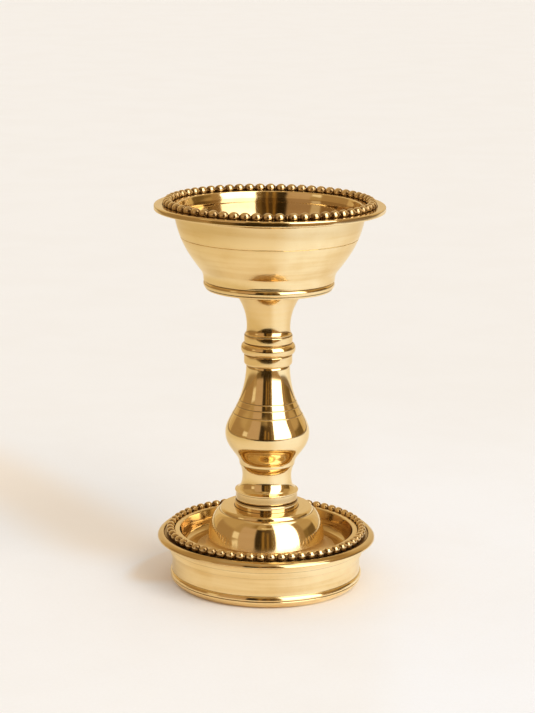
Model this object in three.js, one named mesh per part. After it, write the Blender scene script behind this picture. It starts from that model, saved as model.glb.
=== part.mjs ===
// A brass oil lamp on a pedestal. A wide bowl with a beaded rim stands on a turned stem, and the stem on a
// dome in a drip tray with a second beaded rim. One threaded rod and its nut draw the stack together.
// Millimetres, +Z up. The origin is on the table, under the middle of the foot.
import * as THREE from "three";
import { mergeVertices } from "three/addons/utils/BufferGeometryUtils.js";

// Facets round the axis
const wideSegments = 32;
const stemSegments = 24;
const rodSegments = 12;

// Rod, nut and washers
const rodRadius = 3;
const rodTail = 2.5;
const rodChamfer = 0.5;
const nutAcrossFlats = 10;
const nutThickness = 3.2;
const clampWasherRadius = 9;
const clampWasherThickness = 1.2;
const seatWasherWidth = 8;
const seatWasherThickness = 0.5;

// Fits
const boreClearance = 0.4;
const spigotClearance = 0.2;
const threadClearance = 0.3;
const wireClearance = 0.1;

// Drip tray
const trayHeight = 20.8;
const trayMouthRadius = 33.75;
const trayWellTaper = 0.95;
const trayWellFillet = 2.6;
const trayFloorHeight = 13.1;
const trayFloorThickness = 2.2;
const trayWall = 3;
const traySkirtWall = 2.95;
const trayLipWidth = 2.05;
const trayLipRound = 0.3;
const trayRimWidth = 2.65;
const trayRimThickness = 1.95;
const trayRimEdge = 0.4;
const trayRimDrop = 0.9;
const trayRimCove = 2.5;
const trayUpperBand = 0.8;
const trayLowerBand = 2.6;
const trayBandStep = 0.45;
const trayFootProud = 0.75;
const trayFootHeight = 4.95;
const trayFootLine = 3.05;
const trayFootRound = 2.6;
const trayFootLineDepth = 0.35;
const trayChannelWidth = 0.75;

// Beaded wires
const trayBeadRadius = 1.55;
const trayBeadPitch = 3.93;
const bowlBeadRadius = 1.75;
const bowlBeadPitch = 4.2;
const bowlWireJointLength = 0.9;
const bowlWireJointAngle = -81;
const wireShare = 0.5;
const jointShare = 0.6;
const beadSteps = 3;
const wireSides = 6;

// Dome
const domeHeight = 17;
const domeDiscRadius = 17.3;
const domeCreaseRadius = 18.15;
const domeCreaseDrop = 1.4;
const domeCeilingRadius = 16.1;
const domeSideRadius = 22.65;
const domeSkirtRadius = 27;
const domeSkirtEdge = 0.6;
const domeSkirtSeat = 3;
const domeCoveHeight = 4.3;
const domeWall = 2.4;

// Collar between dome and stem
const collarRadius = 12.35;
const collarHeight = 2.55;
const collarChamfer = 0.4;

// Stem's lower section, from its foot to the narrow top of the vase
const vaseSpigotRadius = 7;
const vaseSpigotShort = 0.5;
const vaseFootRadius = 12.3;
const vaseFootBandHeight = 3.55;
const vaseFootRimHeight = 0.7;
const vaseFootStep = 0.35;
const vaseSeamChamfer = 0.5;
const vaseWaistRadius = 9.5;
const vaseWaistHeight = 9.75;
const vaseCreaseRadius = 10.7;
const vaseCreaseHeight = 14.6;
const vaseCreaseBand = 0.95;
const vaseBellyRadius = 16.3;
const vaseBellyHeight = 26.95;
const vaseTopRadius = 8.42;
const vaseHeight = 53.85;
const vaseLinePlaces = [0.294, 0.4, 0.481];
const vaseLineDepth = 0.15;
const vaseLineWidth = 0.35;

// Knop
const knopHeight = 11.8;
const knopBandRadius = 9.3;
const knopBandRound = 0.7;
const knopLowerBand = 4;
const knopUpperBand = 2.9;
const knopLineWidth = 0.5;
const knopLineDepth = 0.25;
const knopTorusRadius = 10.5;
const knopSpigotRadius = 5;
const knopSpigotReach = 2;

// Neck
const neckHeight = 19.3;
const neckFootRadius = 9;
const neckFootRim = 0.5;
const neckFootCove = 1.8;
const neckThroatRadius = 8.38;
const neckThroatHeight = 2.9;
const neckTopRadius = 15.8;
const neckSocketPlay = 0.4;

// Bowl
const bowlMouthRadius = 34.6;
const bowlHeight = 30.4;
const bowlLipWidth = 2.35;
const bowlLipRound = 0.3;
const bowlRimWidth = 3.3;
const bowlRimThickness = 2.1;
const bowlRimRound = 0.5;
const bowlBeadRise = 0.7;
const bowlRimFall = 1.1;
const bowlRimStep = 0.9;
const bowlWallTopRadius = 36.25;
const bowlWallFootRadius = 26.5;
const bowlWallFootHeight = 5.9;
const bowlLinePlace = 0.6;
const bowlLineDepth = 0.15;
const bowlLineWidth = 0.35;
const bowlWall = 2.55;
const bowlFootBandRadius = 25.1;
const bowlFootBandHeight = 1.5;
const bowlFootRingRadius = 25;
const bowlFootRingHeight = 2.6;
const bowlFootLowerRadius = 24.4;
const bowlFootLowerHeight = 0.8;
const bowlFootWidth = 4;
const bowlFloorThickness = 3.2;
const bowlFloorRadius = 16;
const bowlBossRadius = 6.5;
const bowlBossLength = 8;
const bowlThreadDepth = 8.8;

const brass = new THREE.MeshStandardMaterial({ color: 0xd6a548, roughness: 0.16, metalness: 1 });
const dullBrass = new THREE.MeshStandardMaterial({ color: 0xb88d3c, roughness: 0.3, metalness: 1 });
const steel = new THREE.MeshStandardMaterial({ color: 0xb9bbbd, roughness: 0.35, metalness: 1 });

// Heights of the seats, from the table up
const trayUnderside = trayFloorHeight - trayFloorThickness;
const collarSeat = trayFloorHeight + domeHeight;
const vaseSeat = collarSeat + collarHeight;
const knopSeat = vaseSeat + vaseHeight;
const neckSeat = knopSeat + knopHeight;
const washerSeat = neckSeat + neckHeight;
const bowlSeat = washerSeat + seatWasherThickness;

const boreRadius = rodRadius + boreClearance;

function at(radius, height) {
  return new THREE.Vector2(radius, height);
}

function mix(from, to, share) {
  return from + (to - from) * share;
}

// A cubic curve between two points of an outline, drawn towards one handle at each end.
function curve(from, fromHandle, toHandle, to, steps) {
  return new THREE.CubicBezierCurve(from, fromHandle, toHandle, to).getPoints(steps);
}

// The convex round of a moulding that stands proud between two heights on a face of the given radius.
function moulding(faceRadius, proud, low, high, steps) {
  const points = [];
  for (let i = 0; i <= steps; i += 1) {
    const turn = (Math.PI * i) / steps;
    points.push(at(faceRadius + proud * Math.sin(turn), mix(low, high, (1 - Math.cos(turn)) / 2)));
  }
  return points;
}

// A shallow engraved line across a stretch of an outline, which runs past it on both sides.
function engraved(outline, height, width, depth) {
  const above = outline.findIndex((point) => point.y > height);
  if (above < 1) return outline;
  const low = outline[above - 1];
  const high = outline[above];
  const radiusAt = (z) => mix(low.x, high.x, (z - low.y) / (high.y - low.y));
  const half = Math.min(width / 2, (height - low.y) / 2, (high.y - height) / 2);
  const line = [
    at(radiusAt(height - half), height - half),
    at(radiusAt(height) - depth, height),
    at(radiusAt(height + half), height + half),
  ];
  return [...outline.slice(0, above), ...line, ...outline.slice(above)];
}

// One closed geometry with shared corners and no collapsed triangles.
function welded(geometry) {
  geometry.deleteAttribute("normal");
  geometry.deleteAttribute("uv");
  const merged = mergeVertices(geometry, 1e-4);
  const corners = merged.index.array;
  const kept = [];
  for (let i = 0; i < corners.length; i += 3) {
    const [a, b, c] = [corners[i], corners[i + 1], corners[i + 2]];
    if (a !== b && b !== c && c !== a) kept.push(a, b, c);
  }
  merged.setIndex(kept);
  merged.computeVertexNormals();
  return merged;
}

// A piece turned about +Z. Its outline runs up the outside, and closes on itself or ends on the axis.
function turned(name, outline, segments, material, height = 0) {
  const first = outline[0];
  const last = outline[outline.length - 1];
  const closed = first.x > 0 || last.x > 0 ? [...outline, first.clone()] : outline;
  const geometry = new THREE.LatheGeometry(closed, segments).rotateX(Math.PI / 2);
  const mesh = new THREE.Mesh(welded(geometry), material);
  mesh.name = name;
  mesh.position.z = height;
  return mesh;
}

// A wire bent into a ring, which swells into a bead at every pitch. The wire's two ends may meet in a short
// joint that holds part of a bead.
function beadedWire(name, ringRadius, beadRadius, wantedPitch, jointLength, jointAngle, height) {
  const jointTurn = jointLength / ringRadius;
  const beads = Math.round((2 * Math.PI * ringRadius - jointLength) / wantedPitch);
  const beadTurn = (2 * Math.PI - jointTurn) / beads;
  const slots = jointLength > 0 ? beads + 1 : beads;
  const rings = slots * beadSteps;
  const geometry = new THREE.TorusGeometry(ringRadius, beadRadius, wireSides, rings);
  const position = geometry.getAttribute("position");
  const start = THREE.MathUtils.degToRad(jointAngle) + jointTurn / 2;
  for (let corner = 0; corner < position.count; corner += 1) {
    const ring = (corner % (rings + 1)) % rings;
    const side = (Math.floor(corner / (rings + 1)) % wireSides) + 0.5;
    const slot = Math.floor(ring / beadSteps);
    const share = (ring % beadSteps) / beadSteps;
    const inJoint = slot === beads;
    const slotTurn = inJoint ? jointTurn : beadTurn;
    const swell = beadRadius * (share === 0 ? wireShare : inJoint ? jointShare : 1);
    const turn = start + slot * beadTurn + share * slotTurn;
    const around = (2 * Math.PI * side) / wireSides;
    const reach = ringRadius + swell * Math.cos(around);
    position.setXYZ(corner, reach * Math.cos(turn), reach * Math.sin(turn), swell * Math.sin(around));
  }
  const mesh = new THREE.Mesh(welded(geometry), brass);
  mesh.name = name;
  mesh.position.z = height;
  return mesh;
}

// Radii of the tray, from the mouth outwards
const trayGrooveInner = trayMouthRadius + trayLipWidth;
const trayWireRadius = trayGrooveInner + wireClearance + trayBeadRadius;
const trayGrooveOuter = trayWireRadius + trayBeadRadius + trayChannelWidth;
const trayRimRadius = trayGrooveOuter + trayRimWidth;
const trayWaistRadius = trayMouthRadius + trayWall;
const trayWireHeight = trayHeight;
const trayGrooveFloor = trayWireHeight - trayBeadRadius - wireClearance;

function trayFoot() {
  const foot = trayWaistRadius + trayFootProud;
  const line = foot - trayFootLineDepth;
  return [
    at(trayWaistRadius - traySkirtWall, 0),
    at(foot - trayFootRound, 0),
    at(foot - trayFootRound * 0.55, trayFootLine * 0.35),
    at(foot - trayFootRound * 0.12, trayFootLine * 0.8),
    at(line, trayFootLine),
    at(foot, mix(trayFootLine, trayFootHeight, 0.3)),
    at(mix(trayWaistRadius, foot, 0.75), mix(trayFootLine, trayFootHeight, 0.8)),
    at(trayWaistRadius + 0.05, trayFootHeight),
  ];
}

function trayBase() {
  const rimTop = trayHeight - trayRimDrop;
  const rimUnder = rimTop - trayRimThickness;
  const upperBand = rimUnder - trayRimCove;
  const lowerBand = upperBand - trayUpperBand;
  const waistTop = lowerBand - trayLowerBand;
  const rimEdge = rimUnder + trayRimEdge;
  const bandRadius = trayWaistRadius + 2 * trayBandStep;
  const stepRadius = bandRadius + trayBandStep;
  const floorInner = trayMouthRadius - trayWellTaper;
  const skirtInner = trayWaistRadius - traySkirtWall;
  const outside = [
    ...trayFoot(),
    at(trayWaistRadius, mix(trayFootHeight, waistTop, 0.55)),
    at(trayWaistRadius + trayBandStep, waistTop),
    at(bandRadius, waistTop + 0.15),
    at(bandRadius + 0.1, lowerBand - 0.1),
    at(stepRadius, lowerBand + 0.1),
    ...curve(
      at(stepRadius + 0.1, upperBand),
      at(stepRadius + 0.4, mix(upperBand, rimUnder, 0.75)),
      at(mix(stepRadius, trayRimRadius, 0.5), rimUnder - 0.3),
      at(trayRimRadius - 0.3, rimUnder),
      3,
    ),
  ];
  const rim = [
    at(trayRimRadius, rimUnder + 0.1),
    at(trayRimRadius, rimEdge),
    at(trayRimRadius - 0.4, mix(rimEdge, rimTop, 0.65)),
    at(trayRimRadius - 1.4, rimTop),
    at(trayGrooveOuter + 0.2, rimTop - 0.2),
    at(trayGrooveOuter, rimTop - 0.45),
    at(trayGrooveOuter, trayGrooveFloor),
    at(trayGrooveInner, trayGrooveFloor),
    at(trayGrooveInner, trayHeight - trayLipRound),
    at(trayGrooveInner - trayLipRound, trayHeight),
    at(trayMouthRadius + trayLipRound, trayHeight),
    at(trayMouthRadius, trayHeight - trayLipRound),
  ];
  const well = curve(
    at(floorInner, trayFloorHeight + trayWellFillet),
    at(floorInner, trayFloorHeight + trayWellFillet * 0.45),
    at(floorInner - trayWellFillet * 0.55, trayFloorHeight),
    at(floorInner - trayWellFillet, trayFloorHeight),
    3,
  );
  const under = [
    at(boreRadius, trayFloorHeight),
    at(boreRadius, trayUnderside),
    at(skirtInner - trayWellFillet, trayUnderside),
    at(skirtInner - trayWellFillet * 0.3, trayUnderside - trayWellFillet * 0.3),
    at(skirtInner, trayUnderside - trayWellFillet),
  ];
  return turned("base_tray", [...outside, ...rim, ...well, ...under], wideSegments, brass);
}

function dome() {
  const hole = vaseSpigotRadius + spigotClearance;
  const ceiling = domeHeight - domeWall;
  const flare = THREE.MathUtils.degToRad(80);
  const cove = [];
  for (const share of [0, 0.25, 0.5, 0.75, 1]) {
    const turn = flare * (1 - share);
    const spread = (1 - Math.cos(turn)) / (1 - Math.cos(flare));
    const drop = Math.sin(turn) / Math.sin(flare);
    const height = mix(domeCoveHeight, domeSkirtEdge, drop);
    cove.push(at(mix(domeSideRadius, domeSkirtRadius, spread), height));
  }
  const creaseHeight = domeHeight - domeCreaseDrop;
  const side = curve(
    at(domeSideRadius, domeCoveHeight),
    at(domeSideRadius, mix(domeCoveHeight, creaseHeight, 0.66)),
    at(mix(domeCreaseRadius, domeSideRadius, 0.21), creaseHeight + 0.05),
    at(domeCreaseRadius, creaseHeight),
    5,
  );
  const outline = [
    at(domeSkirtRadius - domeSkirtSeat, 0),
    at(domeSkirtRadius, 0),
    ...cove,
    ...side.slice(1),
    at(mix(domeDiscRadius, domeCreaseRadius, 0.65), domeHeight - domeCreaseDrop * 0.5),
    at(domeDiscRadius, domeHeight),
    at(hole, domeHeight),
    at(hole, ceiling),
    at(domeCeilingRadius, ceiling),
    at(domeSideRadius - domeWall * 1.15, mix(domeCoveHeight, ceiling, 0.5)),
    at(domeSideRadius - domeWall, domeCoveHeight),
  ];
  return turned("base_dome", outline, stemSegments, brass, trayFloorHeight);
}

function collar() {
  const hole = vaseSpigotRadius + spigotClearance;
  const outline = [
    at(hole, 0),
    at(collarRadius, 0),
    at(collarRadius, collarHeight - collarChamfer),
    at(collarRadius - collarChamfer, collarHeight),
    at(hole, collarHeight),
  ];
  return turned("seat_collar", outline, stemSegments, brass, collarSeat);
}

// Outer curve of the vase from its belly to its narrow top, with the engraved lines.
function vaseShoulder() {
  const rise = vaseHeight - vaseBellyHeight;
  let shoulder = curve(
    at(vaseBellyRadius, vaseBellyHeight),
    at(vaseBellyRadius, vaseBellyHeight + rise * 0.23),
    at(vaseTopRadius + 0.35, vaseBellyHeight + rise * 0.4),
    at(vaseTopRadius, vaseHeight),
    10,
  );
  for (const place of vaseLinePlaces) {
    shoulder = engraved(shoulder, vaseBellyHeight + rise * place, vaseLineWidth, vaseLineDepth);
  }
  return shoulder;
}

function vase() {
  const spigotLength = collarHeight + domeWall - vaseSpigotShort;
  const footBand = vaseFootRadius - vaseFootStep;
  const rimTop = vaseFootBandHeight + vaseFootRimHeight;
  const crease = at(vaseCreaseRadius, vaseCreaseHeight);
  const waist = at(vaseWaistRadius, vaseWaistHeight);
  const foot = [
    at(boreRadius, -spigotLength),
    at(vaseSpigotRadius, -spigotLength),
    at(vaseSpigotRadius, 0),
    at(footBand - vaseSeamChamfer, 0),
    at(footBand, vaseSeamChamfer),
    at(footBand, vaseFootBandHeight),
    at(vaseFootRadius, vaseFootBandHeight + 0.1),
    at(vaseFootRadius, rimTop),
  ];
  const hollow = curve(
    at(vaseFootRadius - vaseFootStep, rimTop),
    at(vaseFootRadius - vaseFootStep, rimTop),
    at(vaseWaistRadius, mix(rimTop, vaseWaistHeight, 0.05)),
    waist,
    4,
  );
  const flare = curve(
    waist,
    at(vaseWaistRadius, mix(vaseWaistHeight, vaseCreaseHeight, 0.08)),
    at(vaseWaistRadius, mix(vaseWaistHeight, vaseCreaseHeight, 0.55)),
    crease,
    3,
  );
  const bellyStart = vaseCreaseHeight + vaseCreaseBand;
  const belly = curve(
    at(vaseCreaseRadius + 0.1, bellyStart),
    at(mix(vaseCreaseRadius, vaseBellyRadius, 0.15), mix(bellyStart, vaseBellyHeight, 0.29)),
    at(vaseBellyRadius, mix(bellyStart, vaseBellyHeight, 0.51)),
    at(vaseBellyRadius, vaseBellyHeight),
    4,
  );
  const tip = vaseHeight + knopHeight + knopSpigotReach;
  const spigot = [at(knopSpigotRadius, vaseHeight), at(knopSpigotRadius, tip), at(boreRadius, tip)];
  const shoulder = vaseShoulder();
  const outline = [...foot, ...hollow, ...flare.slice(1), ...belly, ...shoulder.slice(1), ...spigot];
  return turned("stem_vase", outline, stemSegments, brass, vaseSeat);
}

function knop() {
  const socket = knopSpigotRadius + spigotClearance;
  const torusLow = knopLowerBand + knopLineWidth / 2;
  const torusHigh = knopHeight - knopUpperBand - knopLineWidth / 2;
  const face = knopBandRadius - knopLineDepth;
  const outline = [
    at(socket, 0),
    at(knopBandRadius - knopBandRound, 0),
    at(knopBandRadius, knopBandRound),
    at(knopBandRadius, knopLowerBand),
    ...moulding(face, knopTorusRadius - face, torusLow, torusHigh, 6),
    at(knopBandRadius, knopHeight - knopUpperBand),
    at(knopBandRadius, knopHeight - knopBandRound / 2),
    at(knopBandRadius - knopBandRound / 2, knopHeight),
    at(socket, knopHeight),
  ];
  return turned("stem_knop", outline, stemSegments, brass, knopSeat);
}

function neck() {
  const socket = knopSpigotRadius + spigotClearance;
  const socketDepth = knopSpigotReach + neckSocketPlay;
  const bossBore = bowlBossRadius + threadClearance;
  const bossDepth = bowlBossLength - seatWasherThickness + neckSocketPlay;
  const flare = curve(
    at(neckThroatRadius, neckThroatHeight),
    at(neckThroatRadius, mix(neckThroatHeight, neckHeight, 0.4)),
    at(mix(neckThroatRadius, neckTopRadius, 0.36), mix(neckThroatHeight, neckHeight, 0.7)),
    at(neckTopRadius, neckHeight),
    6,
  );
  const outline = [
    at(socket, 0),
    at(neckFootRadius, 0),
    at(neckFootRadius, neckFootRim),
    at(mix(neckThroatRadius, neckFootRadius, 0.35), mix(neckFootRim, neckFootCove, 0.4)),
    at(mix(neckThroatRadius, neckFootRadius, 0.08), neckFootCove),
    ...flare,
    at(bossBore, neckHeight),
    at(bossBore, neckHeight - bossDepth),
    at(boreRadius, neckHeight - bossDepth),
    at(boreRadius, socketDepth),
    at(socket, socketDepth),
  ];
  return turned("stem_neck", outline, stemSegments, brass, neckSeat);
}

// Radii of the bowl's rim, from the mouth outwards
const bowlGrooveInner = bowlMouthRadius + bowlLipWidth;
const bowlWireRadius = bowlGrooveInner + wireClearance + bowlBeadRadius;
const bowlGrooveOuter = bowlWireRadius + bowlBeadRadius + wireClearance;
const bowlRimRadius = bowlGrooveOuter + bowlRimWidth;
const bowlWireHeight = bowlHeight + bowlBeadRise;
const bowlGrooveFloor = bowlWireHeight - bowlBeadRadius - wireClearance;

function bowlFoot() {
  const ringLow = bowlFootBandHeight - bowlFootRingHeight;
  const bottom = ringLow - bowlFootLowerHeight;
  const face = bowlFootLowerRadius + 0.1;
  return [
    at(bowlBossRadius, -bowlBossLength),
    at(bowlBossRadius, 0),
    at(bowlFootLowerRadius - bowlFootWidth, 0),
    at(bowlFootLowerRadius - bowlFootWidth, bottom),
    at(bowlFootLowerRadius - 0.4, bottom),
    at(bowlFootLowerRadius, bottom + 0.3),
    ...moulding(face, bowlFootRingRadius - face, ringLow, bowlFootBandHeight, 3),
  ];
}

function bowlRim() {
  const under = bowlHeight - bowlRimThickness;
  const wallTop = under - bowlRimFall - bowlRimStep;
  return [
    at(bowlWallTopRadius, wallTop),
    at(bowlWallTopRadius + 0.15, wallTop + bowlRimStep * 0.6),
    at(bowlWallTopRadius + 0.75, wallTop + bowlRimStep),
    at(bowlRimRadius - bowlRimRound * 0.9, under),
    at(bowlRimRadius, under + bowlRimRound * 0.7),
    at(bowlRimRadius, bowlHeight - bowlRimRound * 1.2),
    at(bowlRimRadius - bowlRimRound, bowlHeight),
    at(bowlGrooveOuter, bowlHeight),
    at(bowlGrooveOuter, bowlGrooveFloor),
    at(bowlGrooveInner, bowlGrooveFloor),
    at(bowlGrooveInner, bowlHeight - bowlLipRound),
    at(bowlGrooveInner - bowlLipRound, bowlHeight),
    at(bowlMouthRadius + bowlLipRound, bowlHeight),
    at(bowlMouthRadius, bowlHeight - bowlLipRound),
  ];
}

function bowl() {
  const wallTop = bowlHeight - bowlRimThickness - bowlRimFall - bowlRimStep;
  const rise = wallTop - bowlWallFootHeight;
  const spread = bowlWallTopRadius - bowlWallFootRadius;
  const cove = curve(
    at(bowlFootBandRadius, mix(bowlFootBandHeight, bowlWallFootHeight, 0.2)),
    at(bowlFootBandRadius, mix(bowlFootBandHeight, bowlWallFootHeight, 0.6)),
    at(mix(bowlFootBandRadius, bowlWallFootRadius, 0.5), mix(bowlFootBandHeight, bowlWallFootHeight, 0.85)),
    at(bowlWallFootRadius, bowlWallFootHeight),
    2,
  );
  const wall = curve(
    at(bowlWallFootRadius, bowlWallFootHeight),
    at(bowlWallFootRadius + spread * 0.48, bowlWallFootHeight + rise * 0.294),
    at(bowlWallFootRadius + spread * 0.82, bowlWallFootHeight + rise * 0.54),
    at(bowlWallTopRadius, wallTop),
    7,
  );
  const lineHeight = mix(bowlWallFootHeight, wallTop, bowlLinePlace);
  const linedWall = engraved(wall, lineHeight, bowlLineWidth, bowlLineDepth);
  const innerTop = bowlWallTopRadius - bowlWall;
  const inside = curve(
    at(innerTop, wallTop),
    at(innerTop - spread * 0.22, mix(bowlFloorThickness, wallTop, 0.5)),
    at(mix(bowlFloorRadius, innerTop, 0.51), bowlFloorThickness),
    at(bowlFloorRadius, bowlFloorThickness),
    6,
  );
  const outline = [
    at(0, bowlThreadDepth - bowlBossLength),
    at(rodRadius + threadClearance, bowlThreadDepth - bowlBossLength),
    at(rodRadius + threadClearance, -bowlBossLength),
    ...bowlFoot(),
    ...cove,
    ...linedWall.slice(1, -1),
    ...bowlRim(),
    ...inside,
    at(0, bowlFloorThickness),
  ];
  return turned("bowl", outline, wideSegments, brass, bowlSeat);
}

function tieRod() {
  const bottom = trayUnderside - clampWasherThickness - nutThickness - rodTail;
  const top = bowlSeat + bowlThreadDepth - bowlBossLength - threadClearance;
  const outline = [
    at(0, 0),
    at(rodRadius - rodChamfer, 0),
    at(rodRadius, rodChamfer),
    at(rodRadius, top - bottom - rodChamfer),
    at(rodRadius - rodChamfer, top - bottom),
    at(0, top - bottom),
  ];
  return turned("tie_rod", outline, rodSegments, steel, bottom);
}

function washer(name, innerRadius, outerRadius, thickness, material, height) {
  const outline = [
    at(innerRadius, 0),
    at(outerRadius, 0),
    at(outerRadius, thickness),
    at(innerRadius, thickness),
  ];
  return turned(name, outline, stemSegments, material, height);
}

function clampNut() {
  const corner = nutAcrossFlats / 2 / Math.cos(Math.PI / 6);
  const hexagon = new THREE.Shape();
  for (let i = 0; i < 6; i += 1) {
    const turn = (Math.PI / 3) * i;
    const point = [corner * Math.cos(turn), corner * Math.sin(turn)];
    if (i === 0) hexagon.moveTo(...point);
    else hexagon.lineTo(...point);
  }
  hexagon.closePath();
  const hole = new THREE.Path();
  hole.absarc(0, 0, rodRadius + threadClearance, 0, 2 * Math.PI, true);
  hexagon.holes.push(hole);
  const options = { depth: nutThickness, bevelEnabled: false, curveSegments: rodSegments };
  const mesh = new THREE.Mesh(welded(new THREE.ExtrudeGeometry(hexagon, options)), steel);
  mesh.name = "clamp_nut";
  mesh.position.z = trayUnderside - clampWasherThickness - nutThickness;
  return mesh;
}

const lamp = new THREE.Group();
lamp.name = "pedestal_oil_lamp";
lamp.add(trayBase());
lamp.add(beadedWire("base_bead_ring", trayWireRadius, trayBeadRadius, trayBeadPitch, 0, 90, trayWireHeight));
lamp.add(dome());
lamp.add(collar());
lamp.add(vase());
lamp.add(knop());
lamp.add(neck());
lamp.add(tieRod());
lamp.add(
  washer(
    "clamp_washer",
    boreRadius,
    clampWasherRadius,
    clampWasherThickness,
    dullBrass,
    trayUnderside - clampWasherThickness,
  ),
);
lamp.add(clampNut());
const seatWasherInner = bowlBossRadius + boreClearance;
lamp.add(
  washer(
    "bowl_seat_washer",
    seatWasherInner,
    seatWasherInner + seatWasherWidth,
    seatWasherThickness,
    dullBrass,
    washerSeat,
  ),
);
lamp.add(bowl());
lamp.add(
  beadedWire(
    "bowl_bead_ring",
    bowlWireRadius,
    bowlBeadRadius,
    bowlBeadPitch,
    bowlWireJointLength,
    bowlWireJointAngle,
    bowlSeat + bowlWireHeight,
  ),
);

export default lamp;
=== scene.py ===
"""A brass oil lamp on a pedestal, dressed over its CAD frame: turned and beaded brass on a pale studio floor."""

import logging
import math
from dataclasses import dataclass, field
from enum import Enum

import bmesh
import bpy
from mathutils import Matrix, Vector
from mathutils.geometry import interpolate_bezier


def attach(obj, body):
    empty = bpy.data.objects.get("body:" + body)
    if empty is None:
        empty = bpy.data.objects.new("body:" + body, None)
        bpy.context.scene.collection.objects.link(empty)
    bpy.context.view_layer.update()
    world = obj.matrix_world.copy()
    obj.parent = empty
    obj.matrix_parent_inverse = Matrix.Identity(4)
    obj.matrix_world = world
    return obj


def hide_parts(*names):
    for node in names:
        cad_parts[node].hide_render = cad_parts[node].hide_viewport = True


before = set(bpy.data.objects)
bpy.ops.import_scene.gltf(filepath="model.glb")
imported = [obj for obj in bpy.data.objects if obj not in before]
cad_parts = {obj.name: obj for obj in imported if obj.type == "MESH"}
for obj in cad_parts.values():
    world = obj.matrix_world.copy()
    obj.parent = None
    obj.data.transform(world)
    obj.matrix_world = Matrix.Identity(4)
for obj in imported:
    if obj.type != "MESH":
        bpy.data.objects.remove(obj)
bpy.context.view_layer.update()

# Shared names, numbers and the metals' colours.

LOG = logging.getLogger("oil_lamp")
MM = 0.001
IMAGE_HEIGHT = 713
Socket = bpy.types.NodeSocket
Colour = tuple[float, float, float]
SEAM_ROUGHNESS = 0.3
WIRE_PLAY = 0.1
BRIGHT_BRASS = (0.95, 0.785, 0.48)
DEEP_BRASS = (0.87, 0.655, 0.32)
STREAK_BRASS = (0.82, 0.60, 0.285)
WARM_BRASS = (0.89, 0.70, 0.40)
BEAD_BRASS = (0.91, 0.73, 0.46)
BEAD_SHADE = (0.46, 0.31, 0.14)
# Colour of the painted shade in the shade rings.
PAINTED_SHADE_BRASS = (0.42, 0.265, 0.11)
# Colour of tarnish in seams, and of the painted shade on the beaded wires.
TARNISH_AND_SHADE = (0.22, 0.125, 0.045)
WASHER_BRASS = (0.74, 0.56, 0.27)
WASHER_SHADE = (0.6, 0.43, 0.19)
STEEL_DIRT = (0.2, 0.19, 0.17)


class Slot(Enum):
    """Material slots of the record."""

    POLISHED_BRASS = "polished_brass"
    DULL_BRASS = "dull_brass"
    PLATED_STEEL = "plated_steel"


class Body(Enum):
    """Rigid bodies of the lamp that its pieces ride on."""

    BASE = "base"
    SEAT_WASHER = "seat_washer"
    BOWL = "bowl"
    CLAMP_WASHER = "clamp_washer"
    CLAMP_NUT = "clamp_nut"


class Facets(Enum):
    """Steps round the axis, by how large the turned piece is."""

    WIDE = 288
    MIDDLE = 192
    SLIM = 128
    SMALL = 96


# Node graphs.


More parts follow.
